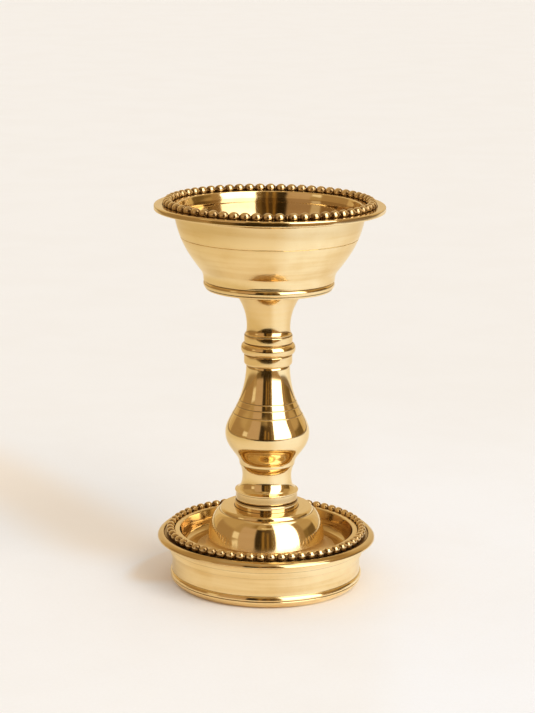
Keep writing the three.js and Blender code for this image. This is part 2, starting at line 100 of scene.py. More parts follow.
@dataclass
class Graph:
    """A node tree with short calls for the nodes that the finishes use.

    Args:
        tree: the node tree that the nodes go into.
    """

    tree: bpy.types.NodeTree

    def node(self, kind: str, **settings: object) -> bpy.types.Node:
        """Add a node.

        Args:
            kind: the node's type name.
            settings: properties to set on it.

        Returns:
            The new node.
        """
        made = self.tree.nodes.new(kind)
        for key, value in settings.items():
            setattr(made, key, value)
        return made

    def join(self, source: Socket, target: Socket) -> None:
        """Link one socket to another."""
        self.tree.links.new(source, target)

    def feed(self, target: Socket, value: object) -> None:
        """Link a socket's value, or set a plain number, vector or colour.

        Args:
            target: the input socket.
            value: an output socket, or the plain value.
        """
        if isinstance(value, Socket):
            self.join(value, target)
        else:
            target.default_value = value

    def math(self, operation: str, *values: object, clamp: bool = False) -> Socket:
        """Add a Math node.

        Args:
            operation: the operation's name.
            values: sockets or numbers for its inputs, in order.
            clamp: whether the result is held between 0 and 1.

        Returns:
            Its output socket.
        """
        made = self.node("ShaderNodeMath", operation=operation, use_clamp=clamp)
        for socket, value in zip(made.inputs, values):
            self.feed(socket, value)
        return made.outputs[0]

    def product(self, *values: object) -> Socket:
        """Multiply several values.

        Args:
            values: sockets or numbers, at least two.

        Returns:
            The product's socket.
        """
        result = values[0]
        for value in values[1:]:
            result = self.math("MULTIPLY", result, value)
        return result

    def length(self, *sides: object) -> Socket:
        """Find the length of the line that two sides at right angles span.

        Args:
            sides: sockets of the two sides.

        Returns:
            The length's socket.
        """
        first, second = (self.math("MULTIPLY", side, side) for side in sides)
        return self.math("SQRT", self.math("ADD", first, second))

    def coordinates(self, kind: str = "Object") -> tuple[Socket, ...]:
        """Read where a point lies.

        Args:
            kind: name of the coordinates.

        Returns:
            The place as a vector, then its x, y and z.
        """
        place = self.node("ShaderNodeTexCoord").outputs[kind]
        parts = self.node("ShaderNodeSeparateXYZ")
        self.join(place, parts.inputs[0])
        return place, *parts.outputs

    def ramp(self, value: object, low: object, high: object, to_low: float = 0.0, to_high: float = 1.0,
             smooth: bool = True) -> Socket:
        """Map a value from one range to another, held at both ends.

        Args:
            value: the socket to map.
            low: start of its range.
            high: end of its range.
            to_low: result at the start.
            to_high: result at the end.
            smooth: whether the change eases in and out.

        Returns:
            The mapped value's socket.
        """
        kind = "SMOOTHSTEP" if smooth else "LINEAR"
        made = self.node("ShaderNodeMapRange", interpolation_type=kind)
        for socket, given in zip(made.inputs, (value, low, high, to_low, to_high)):
            self.feed(socket, given)
        return made.outputs["Result"]

    def hill(self, value: object, start: float, full: float, fading: float, end: float) -> Socket:
        """Mark a range of a value, eased at both ends.

        Args:
            value: the socket to mark.
            start: where the mark starts to rise.
            full: where it reaches 1.
            fading: where it starts to fall.
            end: where it is 0 again.

        Returns:
            The mark's socket.
        """
        return self.product(self.ramp(value, start, full), self.ramp(value, fading, end, 1.0, 0.0))

    def mix(self, share: object, first: object, second: object) -> Socket:
        """Mix two colours.

        Args:
            share: how much of the second colour shows.
            first: the first colour.
            second: the second colour.

        Returns:
            The mixed colour's socket.
        """
        made = self.node("ShaderNodeMix", data_type="RGBA")
        self.feed(made.inputs[0], share)
        for socket, colour in zip(made.inputs[6:8], (first, second)):
            self.feed(socket, (*colour, 1.0) if isinstance(colour, tuple) else colour)
        return made.outputs[2]

    def bearing(self, x: Socket, y: Socket) -> Socket:
        """Find a direction's angle round the lamp, in degrees to the right of the front.

        Args:
            x: how far it goes to the right.
            y: how far it goes to the back.

        Returns:
            The angle's socket.
        """
        return self.product(self.math("ARCTAN2", x, self.product(y, -1.0)), 180 / math.pi)

    def noise(self, vector: object, scale: float, detail: float = 2.0, w: object = None,
              rough: float = 0.5) -> Socket:
        """Add a noise texture.

        Args:
            vector: where it is read.
            scale: how fine it is.
            detail: how many finer layers it has.
            w: the fourth coordinate, for a noise of four dimensions.
            rough: how strong the finer layers are.

        Returns:
            Its value's socket.
        """
        made = self.node("ShaderNodeTexNoise", noise_dimensions="3D" if w is None else "4D")
        self.feed(made.inputs["Vector"], vector)
        if w is not None:
            self.feed(made.inputs["W"], w)
        made.inputs["Scale"].default_value = scale
        made.inputs["Detail"].default_value = detail
        made.inputs["Roughness"].default_value = rough
        return made.outputs[0]


@dataclass
class GroupMaker:
    """Makes the node groups that several finishes share, each of them once."""

    made: dict[str, bpy.types.NodeTree] = field(default_factory=dict)

    def start(self, name: str, inputs: dict[str, float], outputs: dict[str, str]) -> tuple[Graph, dict, dict]:
        """Open a new group.

        Args:
            name: the group's name.
            inputs: input names with their usual numbers.
            outputs: output names with their socket kinds.

        Returns:
            The graph, its input sockets and its output sockets by name.
        """
        tree = bpy.data.node_groups.new(name, "ShaderNodeTree")
        for key, value in inputs.items():
            socket = tree.interface.new_socket(name=key, in_out="INPUT", socket_type="NodeSocketFloat")
            socket.default_value = value
        for key, kind in outputs.items():
            tree.interface.new_socket(name=key, in_out="OUTPUT", socket_type=kind)
        graph = Graph(tree)
        entry = graph.node("NodeGroupInput")
        leave = graph.node("NodeGroupOutput")
        self.made[name] = tree
        return graph, dict(entry.outputs.items()), dict(leave.inputs.items())

    def turning_marks(self) -> bpy.types.NodeTree:
        """Lines that a lathe tool and the polishing mop leave round the axis.

        Returns:
            A group that puts out a fine line height, broad bands, cloudy patches and slow waves.
        """
        if "turning_marks" in self.made:
            return self.made["turning_marks"]
        outputs = {name: "NodeSocketFloat" for name in ("Line", "Band", "Cloud", "Wave")}
        graph, given, result = self.start("turning_marks", {"Lines per m": 5000.0, "Bands per m": 700.0}, outputs)
        place, x, y, z = graph.coordinates()
        radius = graph.length(x, y)

        def round_axis(fineness: object, drift: float, detail: float) -> Socket:
            """Read a noise that hardly changes round the axis, only with height and radius.

            Args:
                fineness: changes per metre across the lines.
                drift: changes per metre along them.
                detail: how many finer layers it has.

            Returns:
                The noise's value.
            """
            vector = graph.node("ShaderNodeCombineXYZ")
            for socket, along, scale in zip(vector.inputs, (x, y, z), (drift, drift, fineness)):
                graph.feed(socket, graph.product(along, scale))
            return graph.noise(vector.outputs[0], 1.0, detail, w=graph.product(radius, fineness))

        graph.join(round_axis(given["Lines per m"], 30.0, 1.0), result["Line"])
        graph.join(round_axis(given["Bands per m"], 25.0, 3.0), result["Band"])
        graph.join(graph.noise(place, 60.0, 4.0, rough=0.6), result["Cloud"])
        graph.join(graph.noise(place, 110.0, 1.0), result["Wave"])
        return graph.tree

    def seam(self) -> bpy.types.NodeTree:
        """A ring at one height: a seam or groove where polish and tarnish stay, or a ring of painted shade.

        Returns:
            A group that puts out how deep in the seam a point is.
        """
        if "seam" in self.made:
            return self.made["seam"]
        inputs = {"Height": 0.0, "Half width": 0.0005, "Inner": 0.0, "Outer": 1.0}
        graph, given, result = self.start("seam", inputs, {"Mask": "NodeSocketFloat"})
        _, x, y, z = graph.coordinates()
        radius = graph.length(x, y)
        away = graph.math("ABSOLUTE", graph.math("SUBTRACT", z, given["Height"]))
        near = graph.ramp(away, 0.0, given["Half width"], 1.0, 0.0)
        inside = graph.math("GREATER_THAN", radius, given["Inner"])
        outside = graph.math("LESS_THAN", radius, given["Outer"])
        graph.join(graph.product(near, inside, outside), result["Mask"])
        return graph.tree


GROUPS = GroupMaker()


# Finishes.


@dataclass(frozen=True)
class Seam:
    """A ring on a piece where its finish differs, such as a dark seam or a ring of painted shade, in millimetres.

    Args:
        height: the height of its middle.
        half_width: half its width.
        depth: how strong it is.
        inner: the smallest radius where it shows.
        outer: the largest radius where it shows.
    """

    height: float
    half_width: float = 0.4
    depth: float = 0.8
    inner: float = 0.0
    outer: float = 1000.0


@dataclass(frozen=True)
class MetalFinish:
    """A turned metal's finish.

    Args:
        name: the material's name.
        slot: the record's slot that it belongs to; it is not used.
        light: colour where the polish is fresh.
        deep: colour of its duller bands and clouds.
        dark: colour of tarnish in its seams, and of painted shade between and below a wire's beads.
        roughness: roughness of the best polish.
        roughness_more: what the duller places add to it.
        lines: turning lines per metre.
        line_depth: depth of the turning lines in millimetres.
        wave_depth: depth of the slow waves that polishing leaves, in millimetres.
        bands: broad bands per metre.
        band_share: how much the bands colour it.
        cloud_share: how much the clouds colour it.
        seams: its dark rings.
        lean: its lower height, upper height and depth where polishing rounded it outwards, or None.
        satin: rings where the mop reaches badly, so that the surface stays satin.
        shade: rings of painted shade, where the colour is evenly darkened and still mirrors clearly.
        wire: radius, height and bead radius of a beaded wire, which gets painted shade between its beads, or None.
    """

    name: str
    slot: Slot
    light: Colour
    deep: Colour
    dark: Colour
    roughness: float
    roughness_more: float
    lines: float = 4000.0
    line_depth: float = 0.0004
    wave_depth: float = 0.05
    bands: float = 600.0
    band_share: float = 0.35
    cloud_share: float = 0.35
    seams: tuple[Seam, ...] = ()
    lean: tuple[float, float, float] | None = None
    satin: tuple[Seam, ...] = ()
    shade: tuple[Seam, ...] = ()
    wire: tuple[float, float, float] | None = None

    def material(self) -> bpy.types.Material:
        """Build the material.

        Returns:
            The new material.
        """
        made = bpy.data.materials.new(self.name)
        made.use_nodes = True
        graph = Graph(made.node_tree)
        shader = made.node_tree.nodes["Principled BSDF"]
        marks = graph.node("ShaderNodeGroup", node_tree=GROUPS.turning_marks())
        marks.inputs["Lines per m"].default_value = self.lines
        marks.inputs["Bands per m"].default_value = self.bands
        band = graph.ramp(marks.outputs["Band"], 0.38, 0.68)
        cloud = graph.ramp(marks.outputs["Cloud"], 0.45, 0.72)
        clouding = graph.product(cloud, self.cloud_share)
        dullness = graph.math("ADD", graph.product(band, self.band_share), clouding, clamp=True)
        colour = graph.mix(dullness, self.light, self.deep)
        rough = graph.math("MULTIPLY_ADD", dullness, self.roughness_more, self.roughness)
        seam_mask = self.ring_mask(graph, self.seams)
        if seam_mask is not None:
            colour = graph.mix(seam_mask, colour, self.dark)
            rough = graph.math("MULTIPLY_ADD", seam_mask, SEAM_ROUGHNESS, rough)
        # Painted shade: the shade rings darken the colour towards a shaded brass.
        shade_mask = self.ring_mask(graph, self.shade)
        if shade_mask is not None:
            colour = graph.mix(shade_mask, colour, PAINTED_SHADE_BRASS)
        satin_mask = self.ring_mask(graph, self.satin)
        if satin_mask is not None:
            rough = graph.math("ADD", satin_mask, rough)
        if self.wire is not None:
            # Painted shade darkens the wire between its beads.
            colour = graph.mix(self.bead_gap_shade(graph), colour, self.dark)
        bump = graph.node("ShaderNodeBump")
        bump.inputs["Strength"].default_value = 1.0
        bump.inputs["Distance"].default_value = MM
        waves = graph.product(marks.outputs["Wave"], self.wave_depth)
        height = graph.math("MULTIPLY_ADD", marks.outputs["Line"], self.line_depth, waves)
        graph.join(height, bump.inputs["Height"])
        if self.lean is not None:
            graph.join(self.leaning(graph), bump.inputs["Normal"])
        graph.join(colour, shader.inputs["Base Color"])
        graph.join(rough, shader.inputs["Roughness"])
        graph.join(bump.outputs[0], shader.inputs["Normal"])
        shader.inputs["Metallic"].default_value = 1.0
        return made

    def leaning(self, graph: Graph) -> Socket:
        """Tilt the surface a little upwards near its lower end, as polishing by hand leaves it.

        Args:
            graph: the material's graph.

        Returns:
            The tilted normal.
        """
        low, high, depth = self.lean
        *_, z = graph.coordinates()
        drop = graph.ramp(z, low * MM, high * MM, 1.0, 0.0, smooth=False)
        made = graph.node("ShaderNodeBump")
        made.inputs["Strength"].default_value = 1.0
        made.inputs["Distance"].default_value = depth * MM
        graph.join(graph.product(drop, drop), made.inputs["Height"])
        return made.outputs[0]

    def bead_gap_shade(self, graph: Graph) -> Socket:
        """Find the narrow places between the beads of a wire, where shade is painted, by how near the wire's middle
        they lie.

        Args:
            graph: the material's graph.

        Returns:
            How deep between two beads a point is.
        """
        ring, height, bead = self.wire
        _, x, y, z = graph.coordinates()
        out = graph.math("SUBTRACT", graph.length(x, y), ring * MM)
        rise = graph.math("SUBTRACT", z, height * MM)
        return graph.ramp(graph.length(out, rise), bead * 0.6 * MM, bead * 0.96 * MM, 0.92, 0.0)

    def ring_mask(self, graph: Graph, rings: tuple[Seam, ...]) -> Socket | None:
        """Add some of the piece's rings.

        Args:
            graph: the material's graph.
            rings: the rings.

        Returns:
            The strongest ring at each point, or None where there are no rings.
        """
        mask = None
        for seam in rings:
            ring = graph.node("ShaderNodeGroup", node_tree=GROUPS.seam())
            ring.inputs["Height"].default_value = seam.height * MM
            ring.inputs["Half width"].default_value = seam.half_width * MM
            ring.inputs["Inner"].default_value = seam.inner * MM
            ring.inputs["Outer"].default_value = seam.outer * MM
            one = graph.product(ring.outputs["Mask"], seam.depth)
            mask = one if mask is None else graph.math("MAXIMUM", mask, one)
        return mask


def brass(name: str, roughness: float = 0.075, **changes: object) -> MetalFinish:
    """Describe a polished brass finish.

    Args:
        name: the material's name.
        roughness: roughness of the best polish.
        changes: fields that differ from the usual polish.

    Returns:
        The finish.
    """
    usual = dict(slot=Slot.POLISHED_BRASS, light=BRIGHT_BRASS, deep=DEEP_BRASS, dark=TARNISH_AND_SHADE, roughness_more=0.07)
    return MetalFinish(name=name, roughness=roughness, **{**usual, **changes})


# Turned shapes.


@dataclass
class Outline:
    """Half a cross-section of a turned piece, in millimetres of radius and height, drawn point by point."""

    points: list[tuple[float, float]] = field(default_factory=list)
    soft: dict[int, float] = field(default_factory=dict)

    def to(self, radius: float, height: float, soft: float = 0.0) -> "Outline":
        """Draw a straight line to a point.

        Args:
            radius: the point's radius.
            height: the point's height.
            soft: how far its corner is rounded off along both sides.

        Returns:
            This outline.
        """
        if soft > 0:
            self.soft[len(self.points)] = soft
        self.points.append((radius, height))
        return self

    def curve(self, handle: tuple[float, float], end_handle: tuple[float, float], end: tuple[float, float],
              steps: int) -> "Outline":
        """Draw a cubic curve from the last point.

        Args:
            handle: the first handle.
            end_handle: the handle at the end.
            end: the end point.
            steps: how many short lines stand for the curve.

        Returns:
            This outline.
        """
        flat = [Vector((*p, 0.0)) for p in (self.points[-1], handle, end_handle, end)]
        for point in interpolate_bezier(*flat, steps + 1)[1:]:
            self.points.append((point.x, point.y))
        return self

    def swell(self, proud: float, height: float, steps: int) -> "Outline":
        """Draw a half-round moulding from the last point straight up to a height.

        Args:
            proud: how far it stands out.
            height: the height where it ends.
            steps: how many short lines stand for the round.

        Returns:
            This outline.
        """
        radius, low = self.points[-1]
        for step in range(1, steps + 1):
            turn = math.pi * step / steps
            rise = (1 - math.cos(turn)) / 2
            self.points.append((radius + proud * math.sin(turn), low + (height - low) * rise))
        return self

    def engrave(self, height: float, width: float, depth: float) -> "Outline":
        """Cut a fine groove across the stretch that passes a height, among the points drawn so far.

        Args:
            height: the groove's height.
            width: its width.
            depth: its depth.

        Returns:
            This outline.
        """
        above = max(i for i in range(1, len(self.points))
                    if (self.points[i - 1][1] - height) * (self.points[i][1] - height) <= 0)
        low = above - 1
        while low > 0 and abs(self.points[low][1] - height) < width * 0.6:
            low -= 1
        high = above
        while high < len(self.points) - 1 and abs(self.points[high][1] - height) < width * 0.6:
            high += 1
        (low_radius, low_height), (high_radius, high_height) = self.points[low], self.points[high]

        def face(at: float) -> float:
            """Find the outline's radius at a height.

            Args:
                at: the height.

            Returns:
                The radius there.
            """
            share = (at - low_height) / (high_height - low_height)
            return low_radius + (high_radius - low_radius) * share

        sign = 1 if high_height > low_height else -1
        half = sign * width / 2
        groove = [
            (face(height - half), height - half),
            (face(height - half * 0.3) - depth, height - half * 0.3),
            (face(height + half * 0.3) - depth, height + half * 0.3),
            (face(height + half), height + half),
        ]
        moved = len(groove) - (high - low - 1)
        self.soft = {i + moved if i >= high else i: v for i, v in self.soft.items() if not low < i < high}
        self.points[low + 1:high] = groove
        return self


@dataclass
class Piece:
    """A finished piece and what it stands for.

    Args:
        name: the piece's name.
        body: the body that it rides on.
        node: the CAD node that it replaces.
        finish: its finish.
    """

    name: str
    body: Body
    node: str
    finish: MetalFinish

    def place(self, bm: bmesh.types.BMesh, sharp: float = 40.0) -> None:
        """Turn a bmesh into the piece's object, dress it and tie it to the frame.

        Args:
            bm: the piece's mesh, in metres.
            sharp: edges that turn by more than this many degrees stay sharp.
        """
        bmesh.ops.remove_doubles(bm, verts=bm.verts, dist=1e-7)
        bmesh.ops.dissolve_degenerate(bm, edges=bm.edges, dist=1e-8)
        bmesh.ops.recalc_face_normals(bm, faces=bm.faces)
        mesh = bpy.data.meshes.new(self.name)
        bm.to_mesh(mesh)
        bm.free()
        mesh.shade_smooth()
        mesh.set_sharp_from_angle(angle=math.radians(sharp))
        mesh.materials.append(self.finish.material())
        made = bpy.data.objects.new(self.name, mesh)
        bpy.context.scene.collection.objects.link(made)
        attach(made, self.body.value)
        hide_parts(self.node)
        LOG.info("%s rides on %s: %d faces", self.name, self.body.value, len(mesh.polygons))


def turned(outline: Outline, lift: float, facets: Facets) -> bmesh.types.BMesh:
    """Turn an outline round the lamp's axis.

    Args:
        outline: the half cross-section, which closes on itself or ends on the axis.
        lift: the height of its zero, in millimetres.
        facets: steps round the axis.

    Returns:
        The closed shape, in metres.
    """
    bm = bmesh.new()
    corners = [bm.verts.new((r * MM, 0.0, (h + lift) * MM)) for r, h in outline.points]
    on_axis = outline.points[0][0] == 0 and outline.points[-1][0] == 0
    for first, second in zip(corners, corners[1:] if on_axis else corners[1:] + corners[:1]):
        bm.edges.new((first, second))
    for amount in sorted(set(outline.soft.values())):
        rounded = [corners[i] for i, value in outline.soft.items() if value == amount]
        bmesh.ops.bevel(bm, geom=rounded, offset=amount * MM, offset_type="OFFSET", segments=4, profile=0.5,
                        affect="VERTICES", material=-1, clamp_overlap=True)
    ring = bm.verts[:] + bm.edges[:]
    bmesh.ops.spin(bm, geom=ring, cent=(0, 0, 0), axis=(0, 0, 1), angle=2 * math.pi, steps=facets.value,
                   use_merge=True)
    return bm


@dataclass
class BeadedWire:
    """A wire of joined beads, bent into a ring.

    Args:
        radius: radius of the ring's centre line.
        height: height of the centre line.
        bead: radius of a bead.
        pitch: wanted distance between beads.
        joint: length of the short joint where the wire's ends meet, or 0.
        joint_angle: where the joint lies, in degrees from +X.
        neck: the wire's radius between beads, as a share of a bead's.
    """

    radius: float
    height: float
    bead: float
    pitch: float
    joint: float = 0.0
    joint_angle: float = 90.0
    neck: float = 0.38

    def finish(self, name: str) -> MetalFinish:
        """Describe the wire's finish: polished on top, with painted shade below and between its beads.

        Args:
            name: the material's name.

        Returns:
            The finish.
        """
        # Painted shade on the lower half of each bead.
        below = Seam(self.height - self.bead * 0.9, self.bead * 1.6, 0.9)
        return brass(name, 0.055, seams=(below,), band_share=0.1, wave_depth=0.01, light=BEAD_BRASS,
                     deep=BEAD_SHADE, wire=(self.radius, self.height, self.bead))

    def one_bead(self, bm: bmesh.types.BMesh, length: float, middle: float, radius: float) -> list:
        """Spin one bead about the wire, then bend it to the ring.

        Args:
            bm: the mesh that it goes into.
            length: how much of the wire it takes.
            middle: its angle on the ring, in radians.
            radius: its own radius.

        Returns:
            Its vertices, edges and faces.
        """
        narrow = self.neck * self.bead
        reach = length / 2 * 0.94
        start = math.atan2(narrow, reach)
        steps = 10
        line = [(-length / 2, narrow)]
        for step in range(steps + 1):
            turn = math.pi - start - (math.pi - 2 * start) * step / steps
            along = math.cos(turn) * reach / math.cos(start)
            line.append((along, max(radius * math.sin(turn), narrow)))
        line.append((length / 2, narrow))
        corners = [bm.verts.new((along, 0.0, out)) for along, out in line]
        edges = [bm.edges.new(pair) for pair in zip(corners, corners[1:])]
        bmesh.ops.spin(bm, geom=corners + edges, cent=(0, 0, 0), axis=(1, 0, 0), angle=2 * math.pi, steps=16,
                       use_merge=True)
        mine = [v for v in bm.verts if not v.tag]
        for vert in mine:
            vert.tag = True
            turn = middle + vert.co.x / self.radius
            out = self.radius + vert.co.y
            vert.co = Vector((out * math.cos(turn), out * math.sin(turn), vert.co.z + self.height)) * MM
        edges = {e for v in mine for e in v.link_edges}
        faces = {f for v in mine for f in v.link_faces}
        return [*mine, *edges, *faces]

    def build(self) -> bmesh.types.BMesh:
        """Build the ring.

        Returns:
            The closed ring, in metres.
        """
        joint_turn = self.joint / self.radius
        count = round((2 * math.pi * self.radius - self.joint) / self.pitch)
        bead_turn = (2 * math.pi - joint_turn) / count
        start = math.radians(self.joint_angle) + joint_turn / 2
        bm = bmesh.new()
        first = self.one_bead(bm, bead_turn * self.radius, start + bead_turn / 2, self.bead)
        if self.joint > 0:
            self.one_bead(bm, self.joint, math.radians(self.joint_angle), self.bead * 0.62)
        bmesh.ops.spin(bm, geom=first, cent=(0, 0, 0), axis=(0, 0, 1), angle=bead_turn * (count - 1),
                       steps=count - 1, use_duplicate=True)
        bmesh.ops.remove_doubles(bm, verts=bm.verts, dist=0.01 * MM)
        return bm


# The lamp's sub-assemblies.


@dataclass
class DripTray:
    """The round tray that the lamp stands in, with its beaded wire. Millimetres."""

    height: float = 20.8
    mouth: float = 33.75
    floor: float = 13.1
    plate: float = 2.2
    waist: float = 36.75
    foot: float = 37.5
    stand: float = 34.9
    skirt_inner: float = 33.8
    groove_inner: float = 35.8
    groove_outer: float = 39.75
    groove_floor: float = 19.15
    hole: float = 3.4
    foot_seam: float = 3.06
    waist_seam: float = 4.98
    band_seam: float = 12.05
    flange_seam: float = 14.6
    rim: float = 42.4
    bead: float = 1.55
    bead_pitch: float = 3.93

    def outline(self) -> Outline:
        """Draw the tray.

        Returns:
            Its outline.
        """
        line = Outline()
        line.to(self.skirt_inner, 0.0, 0.25).to(self.stand, 0.0, 0.3)
        line.curve((self.stand + 1.1, 0.6), (self.foot - 0.2, 1.8), (self.foot - 0.2, 2.6), 14)
        line.to(self.foot - 0.25, 2.88, 0.08).to(self.foot - 0.5, 3.03).to(self.foot - 0.48, 3.1)
        line.to(self.foot - 0.08, 3.2, 0.1)
        line.curve((self.foot + 0.03, 3.4), (self.foot + 0.02, 3.65), (self.foot - 0.06, 3.85), 8)
        line.curve((self.foot - 0.14, 4.25), (self.waist + 0.4, 4.72), (self.waist + 0.12, 4.86), 12)
        line.to(self.waist + 0.02, 5.0, 0.08)
        line.curve((self.waist - 0.05, 6.0), (self.waist - 0.08, 8.0), (self.waist - 0.04, 8.8), 12)
        line.curve((self.waist, 10.2), (self.waist + 0.1, 11.2), (self.waist + 0.24, 11.85), 12)
        line.to(self.waist + 0.3, 12.0, 0.05).to(self.waist + 0.86, 12.14, 0.06)
        line.curve((self.waist + 0.95, 12.8), (self.waist + 0.95, 14.0), (self.waist + 0.98, 14.45), 10)
        line.to(self.waist + 1.32, 14.62, 0.06)
        line.curve((self.waist + 1.4, 15.6), (self.waist + 1.75, 17.2), (self.waist + 3.9, 17.6), 20)
        line.to(self.rim - 0.3, 17.88).to(self.rim, 17.98, 0.05)
        line.curve((self.rim, 18.45), (self.rim - 0.2, 18.8), (self.rim - 0.55, 19.1), 12)
        line.curve((self.rim - 0.95, 19.42), (self.rim - 1.4, 19.78), (self.rim - 1.9, 19.86), 12)
        line.to(self.groove_outer + 0.25, 19.75, 0.2).to(self.groove_outer, 19.4, 0.12)
        line.to(self.groove_outer, self.groove_floor).to(self.groove_inner, self.groove_floor)
        line.to(self.groove_inner, self.height, 0.35).to(self.mouth, self.height, 0.45)
        line.curve((self.mouth - 0.35, 18.9), (self.mouth - 0.95, 17.2), (self.mouth - 0.95, 15.7), 16)
        line.curve((self.mouth - 0.95, 14.3), (self.mouth - 2.2, self.floor), (self.mouth - 3.55, self.floor), 16)
        line.to(self.hole, self.floor, 0.15).to(self.hole, self.floor - self.plate, 0.15)
        line.to(self.skirt_inner - 2.6, self.floor - self.plate)
        line.curve((self.skirt_inner - 1.2, self.floor - self.plate), (self.skirt_inner, 9.7),
                   (self.skirt_inner, 8.3), 12)
        return line

    def build(self) -> None:
        """Build and dress the tray and its wire."""
        seams = (
            Seam(self.foot_seam, 0.3, 0.8, inner=36.5),
            Seam(self.waist_seam, 0.3, 0.35, inner=36.0),
            Seam(self.band_seam, 0.3, 0.35, inner=36.4),
            Seam(self.flange_seam, 0.3, 0.4, inner=36.9),
            Seam(self.groove_floor, 0.75, 0.7, inner=35.6, outer=39.9),
        )
        # Painted shade inside the tray's well and on its outer flange.
        shade = (Seam(16.4, 5.5, 0.6, inner=24.0, outer=34.2), Seam(19.0, 1.6, 0.4, inner=39.9))
        finish = brass("tray_brass", 0.075, seams=seams, shade=shade, bands=520.0, band_share=0.6, cloud_share=0.4,
                       wave_depth=0.08, deep=STREAK_BRASS)
        Piece("drip_tray", Body.BASE, "base_tray", finish).place(turned(self.outline(), 0.0, Facets.WIDE))
        wire = BeadedWire(self.groove_inner + WIRE_PLAY + self.bead, self.height, self.bead, self.bead_pitch)
        Piece("tray_beaded_wire", Body.BASE, "base_bead_ring", wire.finish("tray_bead_brass")).place(
            wire.build(), 60.0)


@dataclass
class Dome:
    """The dome on the tray's floor and the collar on top of it. Millimetres."""

    seat: float = 13.1
    height: float = 17.0
    disc: float = 17.3
    crease: float = 18.15
    crease_height: float = 15.6
    side: float = 22.65
    skirt: float = 27.0
    cove: float = 4.3
    edge: float = 0.6
    wall: float = 2.4
    hole: float = 7.2
    collar: float = 12.35
    collar_height: float = 2.55

    def outline(self) -> Outline:
        """Draw the dome.

        Returns:
            Its outline.
        """
        line = Outline().to(self.skirt - 3.0, 0.0).to(self.skirt, 0.0, 0.12)
        flare = math.radians(80)
        for step in range(25):
            turn = flare * (1 - step / 24)
            spread = (1 - math.cos(turn)) / (1 - math.cos(flare))
            drop = math.sin(turn) / math.sin(flare)
            radius = self.side + (self.skirt - self.side) * spread
            line.to(radius, self.cove - (self.cove - self.edge) * drop, 0.15 if step == 0 else 0.0)
        line.curve((self.side, 11.74), (self.crease + 0.95, self.crease_height + 0.05),
                   (self.crease, self.crease_height), 44)
        line.curve((self.crease - 0.08, self.crease_height + 0.5), (self.disc + 0.45, self.height),
                   (self.disc - 0.25, self.height), 10)
        ceiling = self.height - self.wall
        line.to(self.hole, self.height).to(self.hole, ceiling).to(16.1, ceiling, 0.8)
        line.to(self.side - self.wall * 1.15, (self.cove + ceiling) / 2).to(self.side - self.wall, self.cove)
        return line

    def collar_outline(self) -> Outline:
        """Draw the collar.

        Returns:
            Its outline.
        """
        line = Outline().to(self.hole, 0.0).to(self.collar, 0.0, 0.1)
        line.to(self.collar, self.collar_height - 0.45, 0.2)
        line.to(self.collar - 0.45, self.collar_height, 0.1)
        return line.to(self.hole, self.collar_height)

    def build(self) -> None:
        """Build and dress the dome and the collar."""
        top = self.seat + self.height
        crease = self.seat + self.crease_height
        seams = (
            Seam(self.seat, 0.5, 0.7, inner=25.0),
            Seam(top, 0.25, 0.8, outer=self.collar + 0.35),
            Seam(crease, 0.2, 0.5, outer=self.crease + 0.3),
        )
        finish = brass("dome_brass", 0.085, seams=seams, band_share=0.2, cloud_share=0.3,
                       lean=(self.seat + 4.5, self.seat + 8.9, 0.75),
                       satin=(Seam(self.seat + 2.4, 5.0, 0.3, inner=19.5),))
        Piece("base_dome_turned", Body.BASE, "base_dome", finish).place(
            turned(self.outline(), self.seat, Facets.MIDDLE))
        collar_seams = (
            Seam(top, 0.25, 0.7),
            Seam(top + self.collar_height, 0.5, 0.95),
        )
        # Painted shade on the collar's outer side.
        collar_finish = brass("collar_brass", 0.09, seams=collar_seams, band_share=0.4,
                              shade=(Seam(top + 1.3, 1.6, 0.4, inner=12.0),))
        Piece("stem_collar", Body.BASE, "seat_collar", collar_finish).place(
            turned(self.collar_outline(), top, Facets.SLIM))


